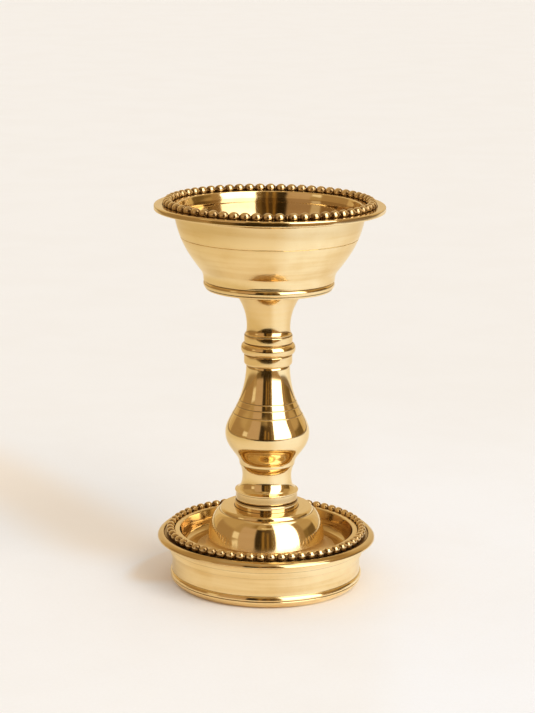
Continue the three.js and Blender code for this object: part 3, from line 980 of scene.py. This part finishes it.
@dataclass
class Stem:
    """The stem's three turned sections: vase, knop and neck. Millimetres."""

    seat: float = 32.65
    bore: float = 3.4
    spigot: float = 7.0
    top_spigot: float = 5.0
    vase_height: float = 53.85
    belly: float = 16.3
    belly_height: float = 26.95
    waist: float = 9.5
    waist_height: float = 9.75
    crease: float = 10.7
    crease_height: float = 14.6
    crease_band: float = 0.95
    top: float = 8.42
    knop_height: float = 11.8
    band: float = 9.3
    torus: float = 10.5
    neck_height: float = 19.3
    throat: float = 8.38
    throat_height: float = 2.9
    neck_foot: float = 9.0
    neck_top: float = 15.8
    boss_bore: float = 6.8
    boss_floor: float = 11.4
    engraved: tuple[float, ...] = (34.85, 37.7, 39.9)

    def vase(self) -> Outline:
        """Draw the vase-shaped lower section.

        Returns:
            Its outline.
        """
        line = Outline().to(self.bore, -4.45, 0.2).to(self.spigot, -4.45, 0.3).to(self.spigot, 0.0)
        line.to(11.45, 0.0, 0.1).to(11.95, 0.55, 0.25).to(11.95, 3.5, 0.08).to(12.3, 3.68, 0.1)
        line.to(12.3, 4.1, 0.1)
        line.curve((11.9, 4.3), (self.waist, 4.44), (self.waist, self.waist_height), 26)
        line.curve((self.waist, 10.15), (self.waist, 12.4), (self.crease - 0.06, self.crease_height - 0.12), 18)
        line.to(self.crease + 0.02, self.crease_height, 0.06)
        low = self.crease_height + self.crease_band
        line.to(self.crease + 0.06, low - 0.1).to(self.crease + 0.1, low)
        line.curve((11.54, 18.86), (self.belly, 21.36), (self.belly, self.belly_height), 34)
        line.curve((self.belly, self.belly_height + 6.19), (self.top + 0.35, self.belly_height + 10.76),
                   (self.top, self.vase_height - 0.35), 60)
        line.to(self.top - 0.15, self.vase_height)
        for height in self.engraved:
            line.engrave(height, 0.42, 0.17)
        tip = self.vase_height + self.knop_height + 2.0
        line.to(self.top_spigot, self.vase_height).to(self.top_spigot, tip, 0.3).to(self.bore, tip, 0.2)
        return line

    def knop(self) -> Outline:
        """Draw the knop.

        Returns:
            Its outline.
        """
        socket = self.top_spigot + 0.2
        line = Outline().to(socket, 0.0).to(self.band - 0.65, 0.0, 0.1).to(self.band, 0.65, 0.4)
        line.to(self.band, 3.95, 0.2).to(self.band - 0.28, 4.2).to(self.band - 0.22, 4.35)
        line.swell(self.torus - self.band + 0.22, 8.6, 26)
        line.to(self.band - 0.28, 8.75).to(self.band, 8.95, 0.15).to(self.band, self.knop_height - 0.25, 0.15)
        line.to(self.band - 0.2, self.knop_height, 0.05).to(socket, self.knop_height)
        return line

    def neck(self) -> Outline:
        """Draw the flared neck.

        Returns:
            Its outline.
        """
        line = Outline().to(self.top_spigot + 0.2, 0.0).to(self.neck_foot, 0.0, 0.08).to(self.neck_foot, 0.4, 0.15)
        line.curve((self.throat + 0.3, 0.6), (self.throat, 1.1), (self.throat, self.throat_height), 18)
        line.curve((self.throat, 9.46), (11.05, 14.4), (self.neck_top, self.neck_height), 44)
        line.to(self.boss_bore, self.neck_height).to(self.boss_bore, self.boss_floor)
        line.to(self.bore, self.boss_floor).to(self.bore, 2.4)
        return line.to(self.top_spigot + 0.2, 2.4)

    def build(self) -> None:
        """Build and dress the three sections."""
        knop_seat = self.seat + self.vase_height
        neck_seat = knop_seat + self.knop_height
        seams = (
            Seam(self.seat, 0.6, 0.95, inner=10.0),
            Seam(self.seat + 3.55, 0.25, 0.55, inner=11.0),
            Seam(self.seat + self.crease_height, 0.3, 0.45, inner=10.0),
            *(Seam(self.seat + height, 0.22, 0.8, inner=9.0) for height in self.engraved),
            Seam(knop_seat, 0.3, 0.8),
        )
        # Painted shade on the band at the vase's foot.
        finish = brass("vase_brass", 0.085, seams=seams, band_share=0.25, cloud_share=0.3,
                       shade=(Seam(self.seat + 1.9, 2.6, 0.5, inner=11.0),))
        Piece("stem_vase_turned", Body.BASE, "stem_vase", finish).place(turned(self.vase(), self.seat, Facets.MIDDLE))
        knop_seams = (
            Seam(knop_seat, 0.3, 0.8),
            Seam(knop_seat + 4.25, 0.35, 0.8, inner=9.0),
            Seam(knop_seat + 8.72, 0.3, 0.8, inner=9.0),
            Seam(neck_seat, 0.22, 0.9),
        )
        knop_finish = brass("knop_brass", 0.085, seams=knop_seams, band_share=0.3, light=WARM_BRASS)
        Piece("stem_knop_turned", Body.BASE, "stem_knop", knop_finish).place(
            turned(self.knop(), knop_seat, Facets.SLIM))
        neck_finish = brass("neck_brass", 0.09, seams=(Seam(neck_seat, 0.25, 0.9),), band_share=0.4, light=WARM_BRASS)
        Piece("stem_neck_turned", Body.BASE, "stem_neck", neck_finish).place(
            turned(self.neck(), neck_seat, Facets.SLIM))


@dataclass
class OilBowl:
    """The bowl that holds the oil, with its beaded wire and its washer. Millimetres."""

    seat: float = 118.1
    height: float = 30.4
    mouth: float = 34.6
    groove_inner: float = 36.95
    groove_outer: float = 40.65
    groove_floor: float = 29.25
    engraved: float = 18.2
    rim: float = 43.95
    bead: float = 1.75
    bead_pitch: float = 4.2
    bead_rise: float = 0.7
    joint: float = 0.9
    joint_angle: float = -81.0
    wall_top: float = 36.25
    wall_foot: float = 26.5
    wall_foot_height: float = 5.9
    floor: float = 3.2
    floor_radius: float = 16.0
    boss: float = 6.5
    boss_length: float = 8.0
    washer_hole: float = 6.9
    washer_edge: float = 14.9
    washer_thickness: float = 0.5

    def outline(self) -> Outline:
        """Draw the bowl.

        Returns:
            Its outline.
        """
        line = Outline().to(0.0, 0.8).to(3.3, 0.8).to(3.3, -self.boss_length, 0.4)
        line.to(self.boss, -self.boss_length, 0.5).to(self.boss, 0.0).to(20.4, 0.0).to(20.4, -1.9, 0.2)
        line.to(24.15, -1.9, 0.25).to(24.4, -1.2, 0.1).to(24.3, -1.05)
        line.swell(0.75, 1.4, 18)
        line.to(24.75, 1.48).to(25.05, 1.65, 0.1)
        line.curve((25.12, 3.0), (25.2, 4.4), (self.wall_foot, self.wall_foot_height), 20)
        line.curve((31.18, 11.9), (34.5, 16.92), (self.wall_top, 26.3), 64)
        line.engrave(self.engraved, 0.42, 0.16)
        line.to(self.wall_top + 0.15, 26.75, 0.2).to(self.wall_top + 0.75, 27.25, 0.15)
        line.curve((self.wall_top + 1.8, 27.5), (self.rim - 2.6, 28.05), (self.rim - 0.55, 28.28), 12)
        line.curve((self.rim - 0.15, 28.33), (self.rim, 28.5), (self.rim, 28.75), 8)
        line.to(self.rim, 29.75)
        line.curve((self.rim, 30.15), (self.rim - 0.2, self.height), (self.rim - 0.62, self.height), 10)
        line.to(self.groove_outer, self.height, 0.25).to(self.groove_outer, self.groove_floor)
        line.to(self.groove_inner, self.groove_floor).to(self.groove_inner, self.height, 0.3)
        line.to(self.mouth, self.height, 0.4)
        line.curve((self.mouth - 0.3, 28.5), (self.mouth - 1.0, 27.6), (33.5, 26.0), 14)
        line.curve((31.4, 14.75), (24.9, self.floor), (self.floor_radius, self.floor), 56)
        return line.to(0.0, self.floor)

    def washer(self) -> Outline:
        """Draw the washer between neck and bowl.

        Returns:
            Its outline.
        """
        line = Outline().to(self.washer_hole, 0.0, 0.1).to(self.washer_edge, 0.0, 0.1)
        line.to(self.washer_edge, self.washer_thickness, 0.1)
        return line.to(self.washer_hole, self.washer_thickness, 0.1)

    def build(self) -> None:
        """Build and dress the bowl, its wire and its washer."""
        seams = (
            Seam(self.seat - 1.1, 0.4, 0.85, inner=23.5),
            Seam(self.seat + 1.45, 0.3, 0.7, inner=23.5, outer=26.0),
            Seam(self.seat + self.engraved, 0.25, 0.75, inner=34.0),
            Seam(self.seat + 27.2, 0.35, 0.5, inner=36.0),
            Seam(self.seat + self.groove_floor, 0.7, 0.65, inner=36.8, outer=40.8),
        )
        # Painted shade inside the bowl, on its upper wall and its floor, and a painted shadow on the outside just
        # below the rim.
        shade = (
            Seam(self.seat + 25.0, 9.0, 0.66, inner=20.0, outer=33.9),
            Seam(self.seat + 9.0, 9.0, 0.4, outer=24.0),
            Seam(self.seat + 24.5, 5.5, 0.22, inner=34.5),
        )
        finish = brass("bowl_brass", 0.075, seams=seams, shade=shade, bands=420.0, band_share=0.45,
                       cloud_share=0.4, roughness_more=0.06, wave_depth=0.07, deep=STREAK_BRASS)
        Piece("oil_bowl", Body.BOWL, "bowl", finish).place(turned(self.outline(), self.seat, Facets.WIDE))
        wire = BeadedWire(self.groove_inner + WIRE_PLAY + self.bead, self.seat + self.height + self.bead_rise,
                          self.bead, self.bead_pitch, self.joint, self.joint_angle)
        Piece("bowl_beaded_wire", Body.BOWL, "bowl_bead_ring", wire.finish("bowl_bead_brass")).place(
            wire.build(), 60.0)
        washer_finish = brass("washer_brass", 0.28, slot=Slot.DULL_BRASS, light=WASHER_BRASS, deep=WASHER_SHADE)
        Piece("bowl_washer", Body.SEAT_WASHER, "bowl_seat_washer", washer_finish).place(
            turned(self.washer(), self.seat - self.washer_thickness, Facets.SMALL))


@dataclass
class ClampHardware:
    """The threaded rod through the stem, with its washer and nut under the tray. Millimetres."""

    rod: float = 3.0
    pitch: float = 1.0
    thread_depth: float = 0.55
    rod_low: float = 4.0
    rod_high: float = 117.6
    thread_run: float = 16.0
    washer: float = 9.0
    washer_hole: float = 3.4
    washer_low: float = 9.7
    washer_thickness: float = 1.2
    nut_low: float = 6.5
    nut_height: float = 3.2
    nut_hole: float = 3.25
    across_flats: float = 10.0
    chamfer_start: float = 0.985
    chamfer_angle: float = 30.0

    def rod_outline(self) -> Outline:
        """Draw the rod's core, which its thread wraps.

        Returns:
            Its outline.
        """
        core = self.rod - self.thread_depth
        end = self.rod_low + self.thread_run
        line = Outline().to(0.0, self.rod_low).to(core - 0.3, self.rod_low, 0.1).to(core, self.rod_low + 0.35)
        line.to(core, end).to(self.rod - 0.1, end + 0.5).to(self.rod - 0.1, self.rod_high - 0.4, 0.1)
        return line.to(self.rod - 0.5, self.rod_high).to(0.0, self.rod_high)

    def thread(self, bm: bmesh.types.BMesh) -> None:
        """Wind the thread's ridge round the rod's lower end.

        Args:
            bm: the rod's mesh, which the ridge joins.
        """
        core = self.rod - self.thread_depth - 0.03
        low = self.rod_low + 0.5
        turns = self.thread_run - 1.0
        steps_a_turn = 32
        ridge = [(core, 0.0), (self.rod - 0.06, 0.42), (self.rod - 0.06, 0.54), (core, 0.96)]
        corners = [bm.verts.new((r * MM, 0.0, (low + h * self.pitch) * MM)) for r, h in ridge]
        edges = [bm.edges.new(pair) for pair in zip(corners, corners[1:] + corners[:1])]
        bm.faces.new(corners)
        steps = int(turns * steps_a_turn)
        result = bmesh.ops.spin(bm, geom=[*corners, *edges], cent=(0, 0, 0), axis=(0, 0, 1),
                                dvec=(0, 0, self.pitch * MM / steps_a_turn),
                                angle=2 * math.pi * turns, steps=steps, use_merge=False)
        last = [v for v in result["geom_last"] if isinstance(v, bmesh.types.BMVert)]
        bmesh.ops.contextual_create(bm, geom=last)

    def nut(self) -> bmesh.types.BMesh:
        """Build the nut: a hexagon with chamfered corners and a threaded hole.

        Returns:
            The nut's mesh, in metres.
        """
        bm = bmesh.new()
        corner = self.across_flats / 2 / math.cos(math.pi / 6)
        bmesh.ops.create_circle(bm, cap_ends=False, radius=corner * MM, segments=6,
                                matrix=Matrix.Rotation(math.pi / 6, 4, "Z"))
        bmesh.ops.subdivide_edges(bm, edges=bm.edges[:], cuts=7, use_grid_fill=False)
        outer = bm.edges[:]
        bmesh.ops.create_circle(bm, cap_ends=False, radius=self.nut_hole * MM, segments=48)
        inner = [e for e in bm.edges if e not in set(outer)]
        bmesh.ops.bridge_loops(bm, edges=outer + inner)
        bmesh.ops.translate(bm, verts=bm.verts, vec=(0, 0, self.nut_low * MM))
        lifted = bmesh.ops.extrude_face_region(bm, geom=bm.faces[:])
        top = [v for v in lifted["geom"] if isinstance(v, bmesh.types.BMVert)]
        bmesh.ops.translate(bm, verts=top, vec=(0, 0, self.nut_height * MM))
        for vert in bm.verts:
            out = math.hypot(vert.co.x, vert.co.y) / MM
            excess = out - self.across_flats / 2 * self.chamfer_start
            if excess > 0:
                drop = excess * math.tan(math.radians(self.chamfer_angle)) * MM
                above = vert.co.z > (self.nut_low + self.nut_height / 2) * MM
                vert.co.z += -drop if above else drop
        return bm

    def build(self) -> None:
        """Build and dress the rod, the washer and the nut."""
        steel = MetalFinish("plated_steel", Slot.PLATED_STEEL, (0.72, 0.73, 0.74), (0.58, 0.58, 0.57),
                            STEEL_DIRT, 0.22, 0.15, line_depth=0.001)
        rod = turned(self.rod_outline(), 0.0, Facets.SMALL)
        self.thread(rod)
        Piece("tie_rod_threaded", Body.BASE, "tie_rod", steel).place(rod, 30.0)
        nut_finish = MetalFinish("plated_nut", Slot.PLATED_STEEL, (0.74, 0.75, 0.75), (0.6, 0.6, 0.58),
                                 STEEL_DIRT, 0.2, 0.15)
        Piece("clamp_nut_hex", Body.CLAMP_NUT, "clamp_nut", nut_finish).place(self.nut(), 25.0)
        washer_finish = brass("clamp_washer_brass", 0.26, slot=Slot.DULL_BRASS, light=WASHER_BRASS,
                              deep=WASHER_SHADE)
        line = Outline().to(self.washer_hole, 0.0, 0.1).to(self.washer, 0.0, 0.3)
        line.to(self.washer, self.washer_thickness, 0.3).to(self.washer_hole, self.washer_thickness, 0.1)
        Piece("clamp_washer_round", Body.CLAMP_WASHER, "clamp_washer", washer_finish).place(
            turned(line, self.washer_low, Facets.SMALL))


# The studio.


class Tone(Enum):
    """Tones of the room that the metal mirrors."""

    CREAM = (0.74, 0.56, 0.32)
    BUFF = (0.69, 0.5, 0.27)
    SAND = (0.655, 0.455, 0.205)
    OCHRE = (0.575, 0.38, 0.165)
    TAN = (0.52, 0.34, 0.185)
    HONEY = (0.49, 0.32, 0.135)
    FAWN = (0.43, 0.272, 0.11)
    BROWN = (0.37, 0.22, 0.087)
    RUST = (0.26, 0.14, 0.033)
    UMBER = (0.225, 0.133, 0.04)
    DARK_UMBER = (0.165, 0.095, 0.028)
    DUSK = (0.1, 0.052, 0.012)
    NIGHT = (0.037, 0.02, 0.004)
    EMBER = (0.38, 0.195, 0.04)
    CEILING = (0.52, 0.37, 0.2)
    PALE_FRAME = (0.85, 0.68, 0.44)
    GOLD_LIGHT = (1.0, 0.78, 0.44)
    WARM_LIGHT = (1.3, 1.05, 0.7)
    SKYLIGHT = (2.4, 2.2, 1.8)
    WINDOW = (3.2, 3.0, 2.6)


@dataclass(frozen=True)
class Panel:
    """One upright stretch of the room's wall, seen from the lamp.

    Args:
        until: the direction where it ends, in degrees to the right of the front.
        tone: its brightness and tint.
    """

    until: float
    tone: Tone


@dataclass(frozen=True)
class Patch:
    """A part of the room that differs from the wall behind it, such as a window.

    Args:
        left: the direction where it starts, in degrees to the right of the front.
        right: the direction where it ends.
        low: its lower edge, in degrees above the horizon.
        high: its upper edge.
        tone: its brightness and tint.
        soft: how wide its blurred edge is, in degrees.
        share: how much it covers the wall.
    """

    left: float
    right: float
    low: float
    high: float
    tone: Tone
    soft: float = 1.5
    share: float = 1.0

    def mask(self, graph: Graph, bearing: Socket, height: Socket) -> Socket:
        """Mark the patch.

        Args:
            graph: the world's graph.
            bearing: a direction's angle to the right of the front.
            height: its angle above the horizon.

        Returns:
            How much of the patch lies in that direction.
        """
        half = self.soft / 2
        sides = graph.hill(bearing, self.left - half, self.left + half, self.right - half, self.right + half)
        ends = graph.hill(height, self.low - half, self.low + half, self.high - half, self.high + half)
        return graph.product(sides, ends, self.share)


@dataclass
class Studio:
    """Camera, pale floor, soft light and the room that the metal mirrors."""

    # The camera, in millimetres, degrees and pixels.
    camera_distance: float = 783.1
    camera_height: float = 265.1
    camera_aside: float = -0.25
    pitch_down: float = 12.645
    roll: float = 0.67
    focal_pixels: float = 2088.2
    sensor: float = 36.0
    # The floor, in metres, with the mirrored sheen's bearings in degrees.
    floor_reach: float = 12.0
    table_front: float = 0.345
    trail_slope: float = 0.62
    trail_start: float = 0.036
    trail_width: tuple[float, float] = (0.005, 0.046)
    trail_run: tuple[float, ...] = (0.0, 0.045, 0.12, 0.3)
    tray_shadow: tuple[float, float] = (0.046, 0.058)
    tray_shadow_side: tuple[float, float] = (-0.02, -0.036)
    tray_shadow_back: tuple[float, float] = (-0.012, 0.004)
    front_run: tuple[float, ...] = (-0.9, -0.3, -0.1, 0.35)
    sunny_run: tuple[float, ...] = (0.03, 0.055, 0.08, 0.4)
    dim_run: tuple[float, float] = (-0.3, 0.02)
    sheen_bearings: tuple[float, ...] = (0.0, 42.0, 75.0, 140.0)
    left_end: tuple[float, float] = (-0.75, -0.45)
    right_end: tuple[float, float] = (0.6, 0.85)
    # Colours of the backdrop, of the floor and of the light on the table.
    backdrop: Colour = (0.94, 0.88, 0.79)
    paper: Colour = (0.948, 0.888, 0.815)
    painted_front_light: Colour = (1.04, 1.05, 1.07)
    shadow_tint: Colour = (1.0, 0.9, 0.78)
    sunny_paper: Colour = (1.0, 0.968, 0.94)
    paper_cloud: Colour = (0.84, 0.75, 0.64)
    paper_grain: Colour = (0.80, 0.71, 0.60)
    mirrored_paper: Colour = (0.935, 0.80, 0.60)
    mirrored_shade: Colour = (0.765, 0.60, 0.35)
    mirrored_sheen: Colour = (1.1, 1.06, 1.0)
    beyond_left: Colour = (0.33, 0.21, 0.09)
    beyond_right: Colour = (0.25, 0.17, 0.10)
    fill: Colour = (0.75, 0.75, 0.75)
    fill_window: Colour = (4.7, 4.7, 4.7)
    # The window that lights the table, then the mirrored room, in degrees.
    window_sides: tuple[float, ...] = (12.0, 32.0, 56.0, 76.0)
    window_ends: tuple[float, ...] = (22.0, 34.0, 52.0, 64.0)
    walls_blur: float = 0.9
    upper_blur: float = 8.0
    under_blur: float = 4.0
    upper_from: tuple[float, float] = (38.0, 48.0)
    ceiling_from: tuple[float, float] = (58.0, 70.0)
    under_until: tuple[float, float] = (-3.5, -1.5)
    walls: tuple[Panel, ...] = (
        Panel(-144.0, Tone.CREAM),
        Panel(-132.0, Tone.SAND),
        Panel(-121.0, Tone.OCHRE),
        Panel(-73.0, Tone.BROWN),
        Panel(-56.5, Tone.FAWN),
        Panel(-23.0, Tone.TAN),
        Panel(-10.0, Tone.NIGHT),
        Panel(11.0, Tone.DUSK),
        Panel(20.0, Tone.UMBER),
        Panel(70.0, Tone.CREAM),
        Panel(84.0, Tone.BROWN),
        Panel(96.0, Tone.UMBER),
        Panel(120.0, Tone.DARK_UMBER),
        Panel(132.0, Tone.SAND),
        Panel(144.0, Tone.BUFF),
        Panel(180.0, Tone.CREAM),
    )
    upper: tuple[Panel, ...] = (
        Panel(-35.0, Tone.FAWN),
        Panel(30.0, Tone.RUST),
        Panel(180.0, Tone.FAWN),
    )
    under: tuple[Panel, ...] = (
        Panel(-60.0, Tone.BROWN),
        Panel(-35.0, Tone.DARK_UMBER),
        Panel(20.0, Tone.NIGHT),
        Panel(180.0, Tone.BROWN),
    )
    patches: tuple[Patch, ...] = (
        Patch(-128.0, -72.0, 24.0, 62.0, Tone.HONEY, 8.0),
        Patch(84.0, 122.0, 17.0, 60.0, Tone.HONEY, 6.0),
        Patch(-24.0, 0.0, 41.0, 62.0, Tone.HONEY, 5.0),
        Patch(-71.5, -57.5, 5.0, 20.0, Tone.PALE_FRAME, 3.0),
        Patch(-8.0, -4.0, 1.0, 33.0, Tone.EMBER, 1.5, 0.8),
        Patch(2.0, 5.0, 1.0, 30.0, Tone.EMBER, 1.2, 0.8),
        Patch(-12.0, 24.0, 44.3, 47.5, Tone.GOLD_LIGHT, 1.2),
        Patch(-14.0, 62.0, 71.0, 75.0, Tone.WARM_LIGHT, 1.5),
        Patch(22.0, 100.0, 50.0, 74.0, Tone.SKYLIGHT, 6.0),
        Patch(20.0, 68.5, -1.5, 58.0, Tone.WINDOW, 1.2),
    )

    def camera(self) -> None:
        """Set the camera at the photograph's place."""
        data = bpy.data.cameras.new("lamp_camera")
        data.sensor_fit = "AUTO"
        data.sensor_width = self.sensor
        data.lens = self.sensor * self.focal_pixels / IMAGE_HEIGHT
        data.clip_start = 0.01
        data.clip_end = 100.0
        made = bpy.data.objects.new("lamp_camera", data)
        pitch = Matrix.Rotation(math.radians(90 - self.pitch_down), 4, "X")
        roll = Matrix.Rotation(math.radians(self.roll), 4, "Z")
        place = Vector((self.camera_aside, -self.camera_distance, self.camera_height)) * MM
        made.matrix_world = Matrix.Translation(place) @ pitch @ roll
        bpy.context.scene.collection.objects.link(made)
        bpy.context.scene.camera = made

    def tinted_paper(self, tint: Colour) -> Colour:
        """Tint the paper's colour.

        Args:
            tint: what its red, green and blue are multiplied by.

        Returns:
            The tinted colour.
        """
        return tuple(colour * share for colour, share in zip(self.paper, tint))

    def shadow_trail(self, graph: Graph, across: Socket, deep: Socket) -> Socket:
        """Find where the lamp's shadow lies, to the left and back, and where the tray stands.

        Args:
            graph: the floor's graph.
            across: how far a point lies to the right.
            deep: how far it lies to the back.

        Returns:
            How warm the paper looks there.
        """
        line = graph.math("ADD", across, graph.math("MULTIPLY_ADD", deep, self.trail_slope, self.trail_start))
        trail = graph.ramp(graph.math("ABSOLUTE", line), *self.trail_width, 0.9, 0.0)
        trail = graph.product(trail, graph.hill(deep, *self.trail_run))
        close = graph.ramp(graph.length(across, deep), *self.tray_shadow, 1.6, 0.0)
        close = graph.product(close, graph.ramp(across, *self.tray_shadow_side),
                              graph.ramp(deep, *self.tray_shadow_back))
        return graph.math("MAXIMUM", trail, close)

    def paper_colour(self, graph: Graph, place: Socket, across: Socket, deep: Socket) -> Socket:
        """Colour the paper that the eye sees: painted light in front and at the right, a painted warm shadow to the
        left and back, faint clouds and grain.

        Args:
            graph: the floor's graph.
            place: a point on the floor.
            across: how far it lies to the right.
            deep: how far it lies to the back.

        Returns:
            The paper's colour.
        """
        front = graph.hill(deep, *self.front_run)
        # Painted light: the paper is lighter in front.
        colour = graph.mix(front, self.paper, self.tinted_paper(self.painted_front_light))
        shadow = self.shadow_trail(graph, across, deep)
        colour = graph.mix(shadow, colour, self.tinted_paper(self.shadow_tint))
        sunny = graph.product(graph.hill(across, *self.sunny_run), front, 0.9)
        colour = graph.mix(sunny, colour, self.sunny_paper)
        clouds = graph.ramp(graph.noise(place, 14.0, 6.0, rough=0.65), 0.35, 0.7, 0.0, 0.1)
        colour = graph.mix(clouds, colour, self.paper_cloud)
        grain = graph.ramp(graph.noise(place, 900.0, 2.0), 0.3, 0.75, 0.0, 0.07)
        return graph.mix(grain, colour, self.paper_grain)

    def mirrored_floor(self, graph: Graph, across: Socket, deep: Socket) -> Socket:
        """Colour the floor that the metal mirrors: painted shade at the left and a painted sheen below the window.

        Args:
            graph: the floor's graph.
            across: how far a point lies to the right.
            deep: how far it lies to the back.

        Returns:
            The mirrored colour.
        """
        dim = graph.ramp(across, *self.dim_run, 1.0, 0.0)
        colour = graph.mix(dim, self.mirrored_paper, self.mirrored_shade)
        sheen = graph.hill(graph.bearing(across, deep), *self.sheen_bearings)
        colour = graph.mix(sheen, colour, self.mirrored_sheen)
        colour = graph.mix(graph.ramp(across, *self.left_end, 1.0, 0.0), colour, self.beyond_left)
        return graph.mix(graph.ramp(across, *self.right_end), colour, self.beyond_right)

    def floor(self) -> None:
        """Lay the pale table top. To the eye it runs on, and the metal looks past its front edge."""
        bm = bmesh.new()
        bmesh.ops.create_grid(bm, x_segments=4, y_segments=4, size=self.floor_reach)
        mesh = bpy.data.meshes.new("studio_floor")
        bm.to_mesh(mesh)
        bm.free()
        material = bpy.data.materials.new("pale_floor")
        material.use_nodes = True
        graph = Graph(material.node_tree)
        material.node_tree.nodes.remove(material.node_tree.nodes["Principled BSDF"])
        out = material.node_tree.nodes["Material Output"]
        place, across, deep, _ = graph.coordinates()
        glossy = graph.node("ShaderNodeLightPath").outputs["Is Glossy Ray"]
        seen = self.paper_colour(graph, place, across, deep)
        colour = graph.mix(glossy, seen, self.mirrored_floor(graph, across, deep))
        paper = graph.node("ShaderNodeBsdfDiffuse")
        graph.join(colour, paper.inputs["Color"])
        beyond = graph.product(glossy, graph.math("LESS_THAN", deep, -self.table_front))
        top = graph.node("ShaderNodeMixShader")
        graph.join(beyond, top.inputs[0])
        graph.join(paper.outputs[0], top.inputs[1])
        graph.join(graph.node("ShaderNodeBsdfTransparent").outputs[0], top.inputs[2])
        graph.join(top.outputs[0], out.inputs["Surface"])
        mesh.materials.append(material)
        made = bpy.data.objects.new("studio_floor", mesh)
        bpy.context.scene.collection.objects.link(made)

    def wall_colours(self, graph: Graph, share: Socket, panels: tuple[Panel, ...], edge: float) -> Socket:
        """Paint a ring of wall panels.

        Args:
            graph: the world's graph.
            share: the direction, as a share of the full turn from the back.
            panels: the panels from the back round over the left, the front and the right.
            edge: half the width of the blur between two panels, in degrees.

        Returns:
            The wall's colour in that direction.
        """
        ring = graph.node("ShaderNodeValToRGB")
        graph.join(share, ring.inputs[0])
        stops = ring.color_ramp
        stops.interpolation = "LINEAR"
        half = edge / 360
        stops.elements[0].position = 0.0
        stops.elements[0].color = (*panels[0].tone.value, 1.0)
        stops.elements[-1].position = 1.0
        stops.elements[-1].color = (*panels[-1].tone.value, 1.0)
        for panel, following in zip(panels, panels[1:]):
            end = panel.until / 360 + 0.5
            stops.elements.new(end - half).color = (*panel.tone.value, 1.0)
            stops.elements.new(end + half).color = (*following.tone.value, 1.0)
        return ring.outputs[0]

    def mirrored_room(self, graph: Graph, bearing: Socket, height: Socket) -> Socket:
        """Paint the room that the metal mirrors.

        Args:
            graph: the world's graph.
            bearing: a direction's angle to the right of the front.
            height: its angle above the horizon.

        Returns:
            The room's colour in that direction.
        """
        share = graph.math("MULTIPLY_ADD", bearing, 1 / 360, 0.5)
        room = self.wall_colours(graph, share, self.walls, self.walls_blur)
        upper = self.wall_colours(graph, share, self.upper, self.upper_blur)
        room = graph.mix(graph.ramp(height, *self.upper_from), room, upper)
        room = graph.mix(graph.ramp(height, *self.ceiling_from), room, Tone.CEILING.value)
        under = self.wall_colours(graph, share, self.under, self.under_blur)
        room = graph.mix(graph.ramp(height, *self.under_until, 1.0, 0.0), room, under)
        for patch in self.patches:
            room = graph.mix(patch.mask(graph, bearing, height), room, patch.tone.value)
        return room

    def light(self) -> None:
        """Light the table softly, and show the metal a room with a bright window at the front right."""
        world = bpy.data.worlds.new("pale_studio")
        world.use_nodes = True
        bpy.context.scene.world = world
        graph = Graph(world.node_tree)
        background = world.node_tree.nodes["Background"]
        _, x, y, z = graph.coordinates("Generated")
        bearing = graph.bearing(x, y)
        height = graph.product(graph.math("ARCSINE", z), 180 / math.pi)
        window = graph.product(graph.hill(bearing, *self.window_sides), graph.hill(height, *self.window_ends))
        soft = graph.mix(window, self.fill, self.fill_window)
        path = graph.node("ShaderNodeLightPath")
        seen = graph.mix(path.outputs["Is Glossy Ray"], soft, self.mirrored_room(graph, bearing, height))
        seen = graph.mix(path.outputs["Is Camera Ray"], seen, self.backdrop)
        graph.join(seen, background.inputs["Color"])
        background.inputs["Strength"].default_value = 1.0

    def build(self) -> None:
        """Set up camera, floor and light."""
        self.camera()
        self.floor()
        self.light()
        bpy.context.scene.view_settings.view_transform = "Standard"


def main() -> None:
    """Build the studio and the lamp's sub-assemblies in order, from the table up."""
    logging.basicConfig(level=logging.INFO, format="%(message)s")
    Studio().build()
    for part in (DripTray(), Dome(), Stem(), ClampHardware(), OilBowl()):
        part.build()
        LOG.info("%s done", type(part).__name__)


if __name__ == "__main__":
    main()
